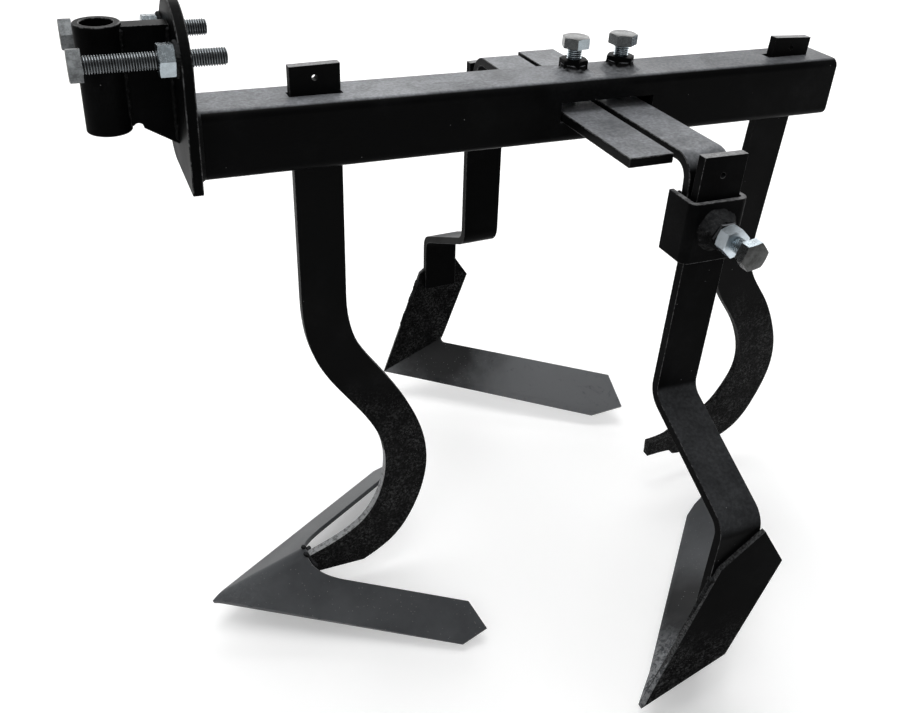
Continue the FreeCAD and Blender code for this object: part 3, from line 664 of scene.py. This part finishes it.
# %% [markdown]
# ## Skins of the shares
# Each side share is one plate with two finishes. Its long wing is rubbed smooth and grey,
# and its upright wing kept its black coat, which only the nose has lost. The edge that is
# ground along the long wing runs out towards the tip, so the one corner where the solid
# stops it short is drawn forward.

# %% The ground edge
GROUND_STEP_FACING = 0.5
GROUND_STEP_LEVEL = 0.12
GROUND_STEP_AREA = (13.2e-6, 14.6e-6)
RUN_OUT = 0.040


def run_out(mesh):
    # Draw the ground edge's square step out into a long point.
    shape = bmesh.new()
    shape.from_mesh(mesh)
    shape.normal_update()
    steps = []
    for face in shape.faces:
        upright = face.normal.x > GROUND_STEP_FACING and abs(face.normal.z) < GROUND_STEP_LEVEL
        if upright and GROUND_STEP_AREA[0] < face.calc_area() < GROUND_STEP_AREA[1]:
            steps.append((face.normal.copy(), min(face.verts, key=lambda vert: vert.co.x)))
    for outward, foremost in steps:
        foremost.co -= outward * RUN_OUT
    shape.normal_update()
    write_mesh(shape, mesh)
    print("ground edges run out:", len(steps))


# %% Shares
SHARE_BEVEL = 0.0007
SIDE_NOSE_Y = 0.30
STEEP_FACE = 0.90
UPRIGHT_RIM_FRONT = -0.45
UPRIGHT_RIM_SIDE = 0.6
UPRIGHT_RIM_LOW = -0.53
UPRIGHT_COATS = {"share_near": upright_paint, "share_far": far_upright_paint}
# The far share's large lift is a painted sheen, and each side share's last entry places a painted dark
# reflection.
SHARE_LOOKS = {
    "share_front": {"reach": 0.09, "rubbed": 0.14, "lift": 0.085, "sheen_level": 0.22},
    "share_near": {"reach": 0.14, "rubbed": 1.6, "lift": 0.08, "sheen_level": 0.10,
                   "dark_reflection": ((0.523, -0.217, -0.563), 0.052, 0.90)},
    "share_far": {"reach": 0.10, "rubbed": 0.5, "lift": 0.66, "sheen_level": 0.13,
                  "dark_reflection": ((0.437, 0.288, -0.547), 0.075, 0.92)}}


def is_upright_rim(normal, middle):
    forward = normal.x < UPRIGHT_RIM_FRONT and abs(normal.y) < UPRIGHT_RIM_SIDE
    return forward and middle.z > UPRIGHT_RIM_LOW


for node, looks in SHARE_LOOKS.items():
    low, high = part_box(node)
    at_side = node in UPRIGHT_COATS
    nose_y = math.copysign(SIDE_NOSE_Y, low.y + high.y) if at_side else 0.0
    plate = share_plate(node + "_plate", (low.x, nose_y, low.z), **looks)
    share = skin(node, SHARE_BEVEL, plate, share_edge, "tool_steel", run_out if at_side else None)
    if at_side:
        repaint(share, UPRIGHT_COATS[node], lambda normal, middle: abs(normal.y) > STEEP_FACE)
        repaint(share, upright_rim, is_upright_rim)
print("shares skinned")

# %% [markdown]
# ## Threads by rule
# A screw thread repeats one small profile along a helix. Geometry Nodes bend a flat grid
# into it: the column gives the angle, and the row gives the height and whether the point
# lies on the crest or in the root. Both ends are clamped to the screw's length, where the
# thread runs out in a chamfer.

# %% Helpers for geometry trees
def geometry_tree(name, sizes):
    tree = bpy.data.node_groups.new(name, "GeometryNodeTree")
    tree.interface.new_socket("Geometry", in_out="INPUT", socket_type="NodeSocketGeometry")
    for label, value in sizes.items():
        kind = "NodeSocketInt" if isinstance(value, int) else "NodeSocketFloat"
        tree.interface.new_socket(label, in_out="INPUT", socket_type=kind).default_value = value
    tree.interface.new_socket("Finish", in_out="INPUT", socket_type="NodeSocketMaterial")
    tree.interface.new_socket("Geometry", in_out="OUTPUT", socket_type="NodeSocketGeometry")
    return tree, tree.nodes.new("NodeGroupInput"), tree.nodes.new("NodeGroupOutput")


def finish_tree(tree, given, result, geometry):
    real = add_node(tree, "GeometryNodeRealizeInstances", Geometry=geometry)
    painted = add_node(tree, "GeometryNodeSetMaterial", Geometry=real.outputs[0],
                       Material=given.outputs["Finish"])
    tree.links.new(painted.outputs[0], result.inputs["Geometry"])


def run_tree(made, tree, material, **sizes):
    modifier = made.modifiers.new(tree.name, "NODES")
    modifier.node_group = tree
    wanted = {name.replace("_", " "): value for name, value in sizes.items()}
    wanted["Finish"] = material
    for item in tree.interface.items_tree:
        if item.in_out == "INPUT" and item.name in wanted:
            modifier[item.identifier] = wanted[item.name]
    return apply_modifiers(made)


# %% The thread tree
THREAD_SIZES = {"Length": 0.05, "Radius": 0.007, "Rows": 100}
THREAD_COLUMNS = 33
THREAD_PITCH = 0.002
THREAD_DEPTH = 0.0012
END_DEPTH = THREAD_DEPTH * 1.1
ROWS_A_TURN = 4
LAST_CREST_ROW = 1.5
GRID_HALF = 0.5
ROOT_SHARE = "root"


def thread_height(tree, row, angle, length):
    # Up a pitch for each turn, from one turn below the tip, and held between the ends.
    turns = calculate(tree, "ADD", calculate(tree, "DIVIDE", row, float(ROWS_A_TURN)),
                      calculate(tree, "DIVIDE", angle, math.tau))
    climbed = calculate(tree, "MULTIPLY", calculate(tree, "SUBTRACT", turns, 1.0), THREAD_PITCH)
    return calculate(tree, "MAXIMUM", calculate(tree, "MINIMUM", climbed, length), 0.0)


def thread_radius(tree, outside, root, height, length):
    # The crest or the root, cut back by a chamfer at both ends.
    radius = calculate(tree, "SUBTRACT", outside, calculate(tree, "MULTIPLY", root, THREAD_DEPTH))
    to_end = calculate(tree, "MINIMUM", height, calculate(tree, "SUBTRACT", length, height))
    chamfer = calculate(tree, "ADD", calculate(tree, "SUBTRACT", outside, END_DEPTH), to_end)
    return calculate(tree, "MINIMUM", radius, chamfer)


def make_thread_tree():
    tree, given, result = geometry_tree("screw_thread", THREAD_SIZES)
    length, outside, rows = (given.outputs[name] for name in THREAD_SIZES)
    grid = add_node(tree, "GeometryNodeMeshGrid", Vertices_X=THREAD_COLUMNS, Vertices_Y=rows)
    place = tree.nodes.new("GeometryNodeInputPosition").outputs[0]
    across = calculate(tree, "ADD", component(tree, place, "X"), GRID_HALF)
    angle = calculate(tree, "MULTIPLY", across, math.tau)
    up = calculate(tree, "ADD", component(tree, place, "Y"), GRID_HALF)
    row = calculate(tree, "MULTIPLY", up, calculate(tree, "SUBTRACT", rows, 1.0))
    row = calculate(tree, "ROUND", row)
    height = thread_height(tree, row, angle, length)
    step = calculate(tree, "MODULO", row, float(ROWS_A_TURN))
    root = calculate(tree, "GREATER_THAN", step, LAST_CREST_ROW)
    radius = thread_radius(tree, outside, root, height, length)
    bent = add_node(tree, "ShaderNodeCombineXYZ", Z=height,
                    X=calculate(tree, "MULTIPLY", radius, calculate(tree, "COSINE", angle)),
                    Y=calculate(tree, "MULTIPLY", radius, calculate(tree, "SINE", angle)))
    deep = add_node(tree, "GeometryNodeStoreNamedAttribute", {"data_type": "FLOAT", "domain": "POINT"},
                    Geometry=grid.outputs["Mesh"], Name=ROOT_SHARE, Value=root)
    moved = add_node(tree, "GeometryNodeSetPosition", Geometry=deep.outputs[0], Position=bent.outputs[0])
    welded = add_node(tree, "GeometryNodeMergeByDistance", Geometry=moved.outputs[0], Distance=MERGE)
    finish_tree(tree, given, result, welded.outputs[0])
    return tree


thread_tree = make_thread_tree()

# %% Threaded rods
DARK_ROOT_DEPTH = 0.6


def darken_roots(made):
    # Faces that lie deep in the thread take the second material, which is dark: partly
    # grime and partly painted shade.
    roots = made.data.attributes[ROOT_SHARE]
    for face in made.data.polygons:
        depth = sum(roots.data[corner].value for corner in face.vertices) / len(face.vertices)
        face.material_index = int(depth > DARK_ROOT_DEPTH)
    made.data.attributes.remove(roots)


def threaded_rod(name, radius, length, material):
    rows = (math.ceil(length / THREAD_PITCH) + 1) * ROWS_A_TURN + 1
    made = new_object(name, bpy.data.meshes.new(name))
    run_tree(made, thread_tree, material, Length=length, Radius=radius, Rows=rows)
    made.data.materials.clear()
    made.data.materials.append(material)
    made.data.materials.append(thread_root_grime_and_shade)
    darken_roots(made)
    shape = bmesh.new()
    shape.from_mesh(made.data)
    bmesh.ops.holes_fill(shape, edges=[edge for edge in shape.edges if edge.is_boundary], sides=0)
    bmesh.ops.recalc_face_normals(shape, faces=shape.faces)
    write_mesh(shape, made.data)
    return made


# %% [markdown]
# ## Hexagon heads and nuts
# A hexagon head is turned to a shallow chamfer, which cuts each corner in a small arc.
# We stand columns of points round the axis and lay faces between them. The side points
# follow the hexagon, the end points are circles, and the chamfer drops the side points
# where the hexagon is widest.

# %% Shapes round an axis
def round_angles(count):
    return [math.tau * i / count for i in range(count)]


def turned_mesh(name, columns, closed, sharp):
    # closed joins each column's last point to its first, which makes a bore.
    shape = bmesh.new()
    corners = [[shape.verts.new(point) for point in column] for column in columns]
    for column, following in zip(corners, corners[1:] + corners[:1]):
        for i in range(len(column) - 1):
            shape.faces.new((column[i], following[i], following[i + 1], column[i + 1]))
        if closed:
            shape.faces.new((column[-1], following[-1], following[0], column[0]))
    bmesh.ops.remove_doubles(shape, verts=shape.verts, dist=MERGE)
    bmesh.ops.recalc_face_normals(shape, faces=shape.faces)
    mesh = write_mesh(shape, bpy.data.meshes.new(name))
    mesh.shade_smooth()
    mesh.set_sharp_from_angle(angle=sharp)
    return mesh


# %% Hexagons
HEX_STEPS = 72
CHAMFER_SLOPE = math.tan(math.radians(20))
END_CIRCLE = 0.96
HEX_SHARP = math.radians(24)


def hexagon_radius(flats, angle):
    sixth = math.tau / 6
    return flats / 2 / math.cos((angle % sixth) - sixth / 2)


def hexagon_column(flats, height, bore, both_ends, angle):
    # Points from the middle of the lower end, up the side, to the middle of the upper end.
    circle = flats / 2 * END_CIRCLE
    side = hexagon_radius(flats, angle)
    drop = (side - circle) * CHAMFER_SLOPE
    low = drop if both_ends else 0.0
    points = ((bore, 0.0), (circle, 0.0), (side, low),
              (side, height - drop), (circle, height), (bore, height))
    return [Vector((r * math.cos(angle), r * math.sin(angle), z)) for r, z in points]


def hexagon_mesh(name, flats, height, bore=0.0, both_ends=False):
    columns = [hexagon_column(flats, height, bore, both_ends, angle) for angle in round_angles(HEX_STEPS)]
    return turned_mesh(name, columns, bore > 0, HEX_SHARP)


# %% [markdown]
# ## Setting each screw in its place
# A solid's box gives the screw's axis, its ends and its head. Each screw is built upright
# at the origin and its mesh is then turned into place, so the object itself stays at the
# origin. Heads and nuts stop at odd angles, as the wrench left them.

# %% Helpers for screws
DIRECTIONS = {
    "front": Vector((-1, 0, 0)),
    "up": Vector((0, 0, 1)),
    "near": Vector((0, -1, 0)),
    "far": Vector((0, 1, 0))}


def along_box(node, direction):
    # Start and end of a solid along a direction, on the middle line of its box.
    low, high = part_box(node)
    middle = (low + high) / 2
    half = abs(direction.dot(high - low)) / 2
    return middle - direction * half, middle + direction * half


def stand_on(mesh, start, direction, turn):
    upright = direction.to_track_quat("Z", "Y").to_matrix().to_4x4()
    mesh.transform(Matrix.Translation(start) @ upright @ Matrix.Rotation(math.radians(turn), 4, "Z"))


def joined(name, pieces):
    # One mesh from several, each with its own material.
    shape = bmesh.new()
    mesh = bpy.data.meshes.new(name)
    for piece in pieces:
        before = len(mesh.materials)
        for material in piece.materials:
            mesh.materials.append(material)
        first = len(shape.faces)
        shape.from_mesh(piece)
        shape.faces.ensure_lookup_table()
        for face in shape.faces[first:]:
            face.material_index += before
    return new_object(name, write_mesh(shape, mesh))


# %% Screws and nuts
HEAD_HEIGHT = 0.010
HEAD_FLATS = 0.024
SCREW_RADIUS = 0.007
HEAD_SINK = 0.0015
FIRST_FLAT = 30
FLAT_STEP = 60
GRIPPED_FLAT = 1
SIDE_FACE = 0.5


def head_finish(normal):
    # 1 for the forged end, 2 for the two flats that the wrench has burnished, 0 for the rest.
    if normal.z > TOP_FACE:
        return 1
    flat = round((math.degrees(math.atan2(normal.y, normal.x)) - FIRST_FLAT) / FLAT_STEP)
    return 2 if flat % 3 == GRIPPED_FLAT and abs(normal.z) < SIDE_FACE else 0


def screw_head(name, materials):
    head = hexagon_mesh(name, HEAD_FLATS, HEAD_HEIGHT)
    for material in materials:
        head.materials.append(material)
    for face in head.polygons:
        face.material_index = head_finish(face.normal)
    return head


def set_screw(node, direction, turn, flats=head_zinc, gripped=gripped_zinc, thread=thread_zinc):
    tip, top = along_box(node, direction)
    under = top - direction * HEAD_HEIGHT
    head = screw_head(node + "_head", (flats, head_face, gripped))
    stand_on(head, under, direction, turn)
    rod = threaded_rod(node + "_rod", SCREW_RADIUS, (under - tip).length + HEAD_SINK, thread)
    stand_on(rod.data, tip, direction, 0.0)
    made = joined(node + "_screw", [head, rod.data])
    bpy.data.objects.remove(rod)
    return dress(made, body_of(node), "zinc_steel", node)


def set_nut(node, direction, turn, material, slot):
    start, end = along_box(node, direction)
    bore = SCREW_RADIUS - THREAD_DEPTH
    mesh = hexagon_mesh(node + "_hexagon", HEAD_FLATS, (end - start).length, bore, both_ends=True)
    mesh.materials.append(material)
    stand_on(mesh, start, direction, turn)
    return dress(new_object(node + "_hexagon", mesh), body_of(node), slot, node)


for side in ("near", "far"):
    set_screw("adjuster_bolt_" + side, DIRECTIONS["front"], 12.0, dull_zinc, dull_zinc, dull_thread)
    set_nut("adjuster_nut_" + side, DIRECTIONS["front"], 8.0, bright_zinc, "zinc_steel")
    set_screw("clamp_bolt_" + side, DIRECTIONS[side], 10.0)
    set_nut("clamp_lock_nut_" + side, DIRECTIONS[side], 16.0, lock_zinc, "zinc_steel")
    set_nut("clamp_nut_" + side, DIRECTIONS[side], 0.0, weld_paint, "black_paint")
for end, turn in (("front", 10.0), ("rear", 34.0)):
    set_screw("arm_set_bolt_" + end, DIRECTIONS["up"], turn)
    set_nut("arm_set_nut_" + end, DIRECTIONS["up"], turn + 12.0, black_paint, "black_paint")
    set_screw("shank_set_bolt_" + end, DIRECTIONS["far"], turn)
    set_nut("shank_set_nut_" + end, DIRECTIONS["far"], turn + 5.0, black_paint, "black_paint")
print("screws and nuts set")

# %% [markdown]
# ## Weld beads
# A weld bead is a rope of metal laid along a seam. It has a ripple every couple of
# millimetres, where the pool froze, it wanders a little, and it ends in a blunt lump.
# Geometry Nodes sweep a ring along the seam, swell it at each ripple, draw it in at the
# two ends and roughen it with noise.

# %% The bead tree
BEAD_SIZES = {"Leg": 0.005, "Lumps": 0.3, "Seed": 1.0}
RIPPLE = 0.0026
RIPPLE_SWELL = 0.10
BEAD_STEP = 0.0007
BEAD_SIDES = 14
BLUNT_END = 0.08
BEAD_WANDER = {"Scale": 110.0, "Detail": 1.0}
BEAD_GRIT = {"Scale": 420.0, "Detail": 2.0}
NOISE_MIDDLE = 0.5


def seeded_noise(tree, given, pattern):
    # Noise above and below zero, another for each seed.
    made = add_node(tree, "ShaderNodeTexNoise", {"noise_dimensions": "4D"}, W=given.outputs["Seed"],
                    **pattern)
    return calculate(tree, "SUBTRACT", made.outputs["Fac"], NOISE_MIDDLE)


def blunt_ends(tree, given, gone):
    # Small at a bead's two ends, and 1 along the rest and all round a closed ring.
    total = tree.nodes.new("GeometryNodeSplineLength").outputs["Length"]
    closed = tree.nodes.new("GeometryNodeInputSplineCyclic").outputs[0]
    to_end = calculate(tree, "MINIMUM", gone, calculate(tree, "SUBTRACT", total, gone))
    share = calculate(tree, "DIVIDE", to_end, given.outputs["Leg"])
    blunt = calculate(tree, "SQRT", calculate(tree, "ADD", share, BLUNT_END, clamp=True))
    return calculate(tree, "MAXIMUM", blunt, closed)


def bead_radius(tree, given):
    # As a share of the leg: swollen at each ripple, wandering, and drawn in at the ends.
    gone = tree.nodes.new("GeometryNodeSplineParameter").outputs["Length"]
    ripple = calculate(tree, "FRACT", calculate(tree, "DIVIDE", gone, RIPPLE))
    swell = calculate(tree, "SINE", calculate(tree, "MULTIPLY", ripple, math.pi))
    swell = calculate(tree, "MULTIPLY", swell, RIPPLE_SWELL)
    wander = calculate(tree, "MULTIPLY", seeded_noise(tree, given, BEAD_WANDER), given.outputs["Lumps"])
    radius = calculate(tree, "ADD", calculate(tree, "ADD", swell, wander), 1.0 - RIPPLE_SWELL)
    return calculate(tree, "MULTIPLY", radius, blunt_ends(tree, given, gone))


def make_bead_tree():
    tree, given, result = geometry_tree("weld_bead", BEAD_SIZES)
    line = add_node(tree, "GeometryNodeMeshToCurve", Mesh=given.outputs["Geometry"])
    fine = add_node(tree, "GeometryNodeResampleCurve", {"mode": "LENGTH"}, Curve=line.outputs[0],
                    Length=BEAD_STEP)
    ring = add_node(tree, "GeometryNodeCurvePrimitiveCircle", Resolution=BEAD_SIDES, Radius=1.0)
    scale = calculate(tree, "MULTIPLY", bead_radius(tree, given), given.outputs["Leg"])
    swept = add_node(tree, "GeometryNodeCurveToMesh", Curve=fine.outputs[0],
                     Profile_Curve=ring.outputs["Curve"], Scale=scale, Fill_Caps=True)
    height = calculate(tree, "MULTIPLY", given.outputs["Lumps"], given.outputs["Leg"])
    lift = calculate(tree, "MULTIPLY", seeded_noise(tree, given, BEAD_GRIT), height)
    push = add_node(tree, "ShaderNodeVectorMath", {"operation": "SCALE"}, Scale=lift)
    feed(tree, push.inputs[0], tree.nodes.new("GeometryNodeInputNormal").outputs[0])
    rough = add_node(tree, "GeometryNodeSetPosition", Geometry=swept.outputs[0], Offset=push.outputs[0])
    soft = add_node(tree, "GeometryNodeSetShadeSmooth", Geometry=rough.outputs[0])
    finish_tree(tree, given, result, soft.outputs[0])
    return tree


bead_tree = make_bead_tree()


# %% Seams
def seam(name, runs, leg, body, lumps, seed, replaced=()):
    # runs is a list of (points, closed); each becomes one bead of the same mesh.
    shape = bmesh.new()
    for points, closed in runs:
        corners = [shape.verts.new(point) for point in points]
        following = corners[1:] + corners[:1] if closed else corners[1:]
        for a, b in zip(corners, following):
            shape.edges.new((a, b))
    made = new_object(name, write_mesh(shape, bpy.data.meshes.new(name)))
    run_tree(made, bead_tree, foot_weld_paint, Leg=leg, Lumps=lumps, Seed=seed)
    return dress(made, body, "black_paint", *replaced)


# %% [markdown]
# ## Welded nuts
# The nuts on the beam and the straps are drowned in weld. The welder went round each one
# more than once, so the metal flares from the nut down to the bar like a rough bell. A
# ring of profile points is turned round the axis, and noise from a fixed place roughens
# it, more at the foot than at the top. The stop screws' nuts have a plain bead instead.

# %% Weld bells round the nuts
BELL_TURNS = 72
BELL_ROWS = 12
BELL_BASE = 0.0205
BELL_FLARE = 2.8
BELL_TOP = 0.0128
BELL_LIP = 0.90
BELL_CROWN = 1.03
BELL_BORE = 0.0072
BELL_LUMP = 0.0026
BELL_FOOT_LUMP = 1.1
BELL_GRIT = 0.0008
BELL_SCALE = 85.0
GRIT_SCALE = 380.0
BELL_SHARP = math.radians(75)


def bell_profile(height, top):
    # From the foot on the bar, up a hollow flare, and in to the bore.
    points = [(BELL_BASE, 0.0)]
    for i in range(1, BELL_ROWS + 1):
        share = i / BELL_ROWS
        points.append((top + (BELL_BASE - top) * (1 - share) ** BELL_FLARE, height * share))
    crown = height * BELL_CROWN
    return points + [(top * BELL_LIP, crown), (BELL_BORE, crown), (BELL_BORE, 0.0)]


def bell_point(turn, radius, up, height, seed):
    # The seed moves the place that the noise is read from, and the bore stays round.
    point = Vector((radius * math.cos(turn), radius * math.sin(turn), up))
    place = point + Vector((seed, 0.0, 0.0))
    lump = mathutils.noise.noise(place * BELL_SCALE) * BELL_LUMP * (BELL_FOOT_LUMP - up / height)
    grit = mathutils.noise.noise(place * GRIT_SCALE) * BELL_GRIT
    if radius > BELL_BORE:
        point += Vector((point.x, point.y, 0.0)).normalized() * min(lump + grit, BELL_LUMP)
    return point


def weld_bell(node, direction, height, top, seed, finish=weld_paint):
    columns = [[bell_point(turn, radius, up, height, seed) for radius, up in bell_profile(height, top)]
               for turn in round_angles(BELL_TURNS)]
    mesh = turned_mesh(node + "_bell", columns, True, BELL_SHARP)
    mesh.materials.append(finish)
    stand_on(mesh, along_box(node, direction)[0], direction, 0.0)
    return dress(new_object(node + "_bell", mesh), body_of(node), "black_paint", node)


# %% Beads round the stop screws' nuts
RING_POINTS = 40
ADJUSTER_BEAD = 0.0022
ADJUSTER_RING = 0.0125
ADJUSTER_RAISE = 0.001


def ring_points(centre, direction, radius):
    across = direction.orthogonal().normalized()
    beside = direction.cross(across)
    return [centre + across * (radius * math.cos(turn)) + beside * (radius * math.sin(turn))
            for turn in round_angles(RING_POINTS)]


def adjuster_bead(side, seed):
    node = "adjuster_weld_" + side
    front = DIRECTIONS["front"]
    centre = along_box(node, front)[0] + front * ADJUSTER_RAISE
    runs = [(ring_points(centre, front, ADJUSTER_RING), True)]
    return seam("adjuster_bead_" + side, runs, ADJUSTER_BEAD, "beam", lumps=0.3, seed=seed,
                replaced=[node])


# %% Welds of all the nuts
SET_BELL = 0.0085
CLAMP_BELL = 0.0125
CLAMP_BELL_TOP = 0.0142

for end, seed in (("front", 3.0), ("rear", 8.0)):
    weld_bell("arm_nut_weld_" + end, DIRECTIONS["up"], SET_BELL, BELL_TOP, seed)
    weld_bell("shank_nut_weld_" + end, DIRECTIONS["far"], SET_BELL, BELL_TOP, seed + 1.0)
for side, seed in (("near", 12.0), ("far", 17.0)):
    weld_bell("clamp_nut_weld_" + side, DIRECTIONS[side], CLAMP_BELL, CLAMP_BELL_TOP, seed, foot_weld_paint)
    adjuster_bead(side, seed)

# %% Fillet between beam and plate
FILLET_EDGE = 0.0006
skin("hitch_weld", FILLET_EDGE, weld_paint, weld_paint, "black_paint")
print("fillet round the tube")

# %% Seams of bush, web and straps
WEB_BEAD = 0.0021
WEB_SEAM_OUT = 0.001
WEB_SEAM_FOOT = 0.004
BUSH_SEAM_FOOT = 0.012
WEB_SEAM_HEAD = 0.002
STRAP_BEAD = 0.0040
STRAP_INSET = 0.002


def upright_line(x, y, low, high):
    return [Vector((x, y, low)), Vector((x, y, high))]


def web_seams():
    low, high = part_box("hitch_web")
    bush_low, bush_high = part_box("hitch_bush")
    plate_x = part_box("hitch_plate")[0].x - WEB_SEAM_OUT
    head = high.z - WEB_SEAM_HEAD
    runs = []
    for y in (low.y, high.y):
        bush_x = math.sqrt(bush_high.x ** 2 - y ** 2)
        runs.append((upright_line(plate_x, y, low.z + WEB_SEAM_FOOT, head), False))
        runs.append((upright_line(bush_x, y, bush_low.z + BUSH_SEAM_FOOT, head), False))
    return seam("web_seams", runs, WEB_BEAD, "beam", lumps=0.4, seed=21.0)


def strap_seams(side):
    node = "clamp_seams_" + side
    low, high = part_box(node)
    inner = low.y if side == "far" else high.y
    runs = [(upright_line(x, inner, low.z, high.z), False)
            for x in (low.x + STRAP_INSET, high.x - STRAP_INSET)]
    return seam(node + "_bead", runs, STRAP_BEAD, body_of(node), lumps=0.3, seed=25.0,
                replaced=[node])


web_seams()
for side in ("near", "far"):
    strap_seams(side)
print("beads laid")

# %% [markdown]
# ## Welds at the shanks' feet
# The side shanks are welded along the front edge of their upright wings, and the front
# shank in the corner of its folded share. These beads were laid by hand in an awkward
# place, so they are lumpy, with a blob where the welder stopped.

# %% Welds at the side shanks' feet
FOOT_BEAD = 0.0026
FOOT_LUMPS = 0.8
UPRIGHT_STEPS = (0.06, 0.20, 0.36, 0.52)
PLATE_THICK = 0.005
ON_FACE = 0.0004
FRONT_REACH = 0.075
TOP_SLOPE = 0.6
BLOB = 0.0042
BLOB_LENGTH = 0.35


def upright_front(side):
    # Places down the front edge of an upright wing, on its inner face.
    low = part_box("share_" + side)[0]
    upright = [vertex.co for vertex in frame["nodes"]["share_" + side].data.vertices]
    inner = max(point.y for point in upright) - PLATE_THICK if side == "far" else low.y + PLATE_THICK
    on_face = [point for point in upright if abs(point.y - inner) < ON_FACE]
    in_front = [point for point in on_face if point.x < low.x + FRONT_REACH]
    top = max(in_front, key=lambda point: point.z - TOP_SLOPE * point.x)
    tip = min(on_face, key=lambda point: point.z)
    return [top.lerp(tip, share) for share in UPRIGHT_STEPS]


for side in ("near", "far"):
    line = upright_front(side)
    blob = [line[0], line[0].lerp(line[1], BLOB_LENGTH)]
    body = body_of("shank_" + side)
    seam("foot_bead_" + side, [(line, False)], FOOT_BEAD, body, FOOT_LUMPS, seed=31.0)
    seam("foot_blob_" + side, [(blob, False)], BLOB, body, FOOT_LUMPS, seed=37.0)

# %% Weld in the front share's corner
FOLD_INSET = 0.0025
CORNER_RUN = (
    (-0.0025, 0.0052, 0.0025),
    (0.001, 0.0062, -0.004),
    (0.0045, 0.0092, -0.0105),
    (0.009, 0.0165, -0.0135))


def corner_weld():
    low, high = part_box("shank_front")
    fold_end = Vector((low.x + FOLD_INSET, (low.y + high.y) / 2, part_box("share_front")[1].z))
    runs = [([fold_end + Vector((x, side * y, z)) for x, y, z in CORNER_RUN], False)
            for side in (-1, 1)]
    return seam("front_foot_bead", runs, FOOT_BEAD, body_of("shank_front"), FOOT_LUMPS, seed=41.0)


corner_weld()
print("feet welded")

# %% [markdown]
# ## Floor and light
# The plough stands on its three shares, and the front one hangs lower than the others,
# so on level ground the beam leans back by five degrees. Here the beam is level, and the
# floor leans instead. Two wide soft boxes, overhead and behind, draw a sheen on every
# upward face, where the paint adds a pale film of dust and painted sheen, and a small
# weak one in front leaves the sides dark.

# %% Floor
FLOOR_LEAN = math.radians(5.0)
FLOOR_SIZE = 60.0
FLOOR_WHITE = (0.86, 0.86, 0.86, 1.0)
FLOOR_ROUGH = 0.9
FLOOR_GLOW = 0.28
FLOOR_CORNERS = ((-1, -1), (1, -1), (1, 1), (-1, 1))
WHITE = (1.0, 1.0, 1.0, 1.0)


def floor_corners():
    # A leaning square under the lowest point of the solids.
    lean = math.tan(FLOOR_LEAN)
    base = min(vertex.co.z - vertex.co.x * lean
               for node in frame["nodes"].values() for vertex in node.data.vertices)
    middle = (solid_box[0].x + solid_box[1].x) / 2
    half = FLOOR_SIZE / 2
    return [(middle + x * half, y * half, base + (middle + x * half) * lean) for x, y in FLOOR_CORNERS]


def floor_material():
    # The glow is seen by the camera and in reflections, and lights nothing.
    material, tree, shader, _ = empty_material("floor_white")
    shader.inputs["Base Color"].default_value = FLOOR_WHITE
    shader.inputs["Roughness"].default_value = FLOOR_ROUGH
    shader.inputs["Specular IOR Level"].default_value = 0.0
    shader.inputs["Emission Color"].default_value = WHITE
    seen = tree.nodes.new("ShaderNodeLightPath")
    glow = calculate(tree, "MAXIMUM", seen.outputs["Is Camera Ray"], seen.outputs["Is Glossy Ray"])
    glow = calculate(tree, "MAXIMUM", glow, seen.outputs["Is Transmission Ray"])
    feed(tree, shader.inputs["Emission Strength"], calculate(tree, "MULTIPLY", glow, FLOOR_GLOW))
    return material


def make_floor():
    mesh = bpy.data.meshes.new("floor")
    mesh.from_pydata(floor_corners(), [], [(0, 1, 2, 3)])
    mesh.materials.append(floor_material())
    floor = new_object("floor", mesh)
    return floor


make_floor()

# %% Lamps and world
OBJECT_MIDDLE = (Vector(solid_box[0]) + Vector(solid_box[1])) / 2
LAMPS = {
    "overhead": {"place": (0.2, 0.3, 2.6), "size": (2.2, 2.2), "watts": 54.0},
    "behind": {"place": (1.7, 2.75, 1.30), "size": (4.4, 1.9), "watts": 74.0},
    "front_fill": {"place": (-1.8, -2.0, 1.8), "size": (1.0, 1.0), "watts": 10.0}}
WORLD_GREY = 0.34


def soft_box(name, place, size, watts):
    lamp = bpy.data.lights.new(name, "AREA")
    lamp.shape = "RECTANGLE"
    lamp.size, lamp.size_y = size
    lamp.energy = watts
    holder = new_object(name, lamp)
    holder.location = place
    holder.rotation_euler = (OBJECT_MIDDLE - Vector(place)).to_track_quat("-Z", "Y").to_euler()
    holder.visible_camera = False


def make_world():
    world = bpy.data.worlds.new("studio")
    bpy.context.scene.world = world
    world.use_nodes = True
    back = world.node_tree.nodes["Background"]
    back.inputs["Strength"].default_value = WORLD_GREY
    back.inputs["Color"].default_value = WHITE


for name, lamp in LAMPS.items():
    soft_box(name, **lamp)
make_world()
bpy.context.scene.view_settings.view_transform = "Standard"
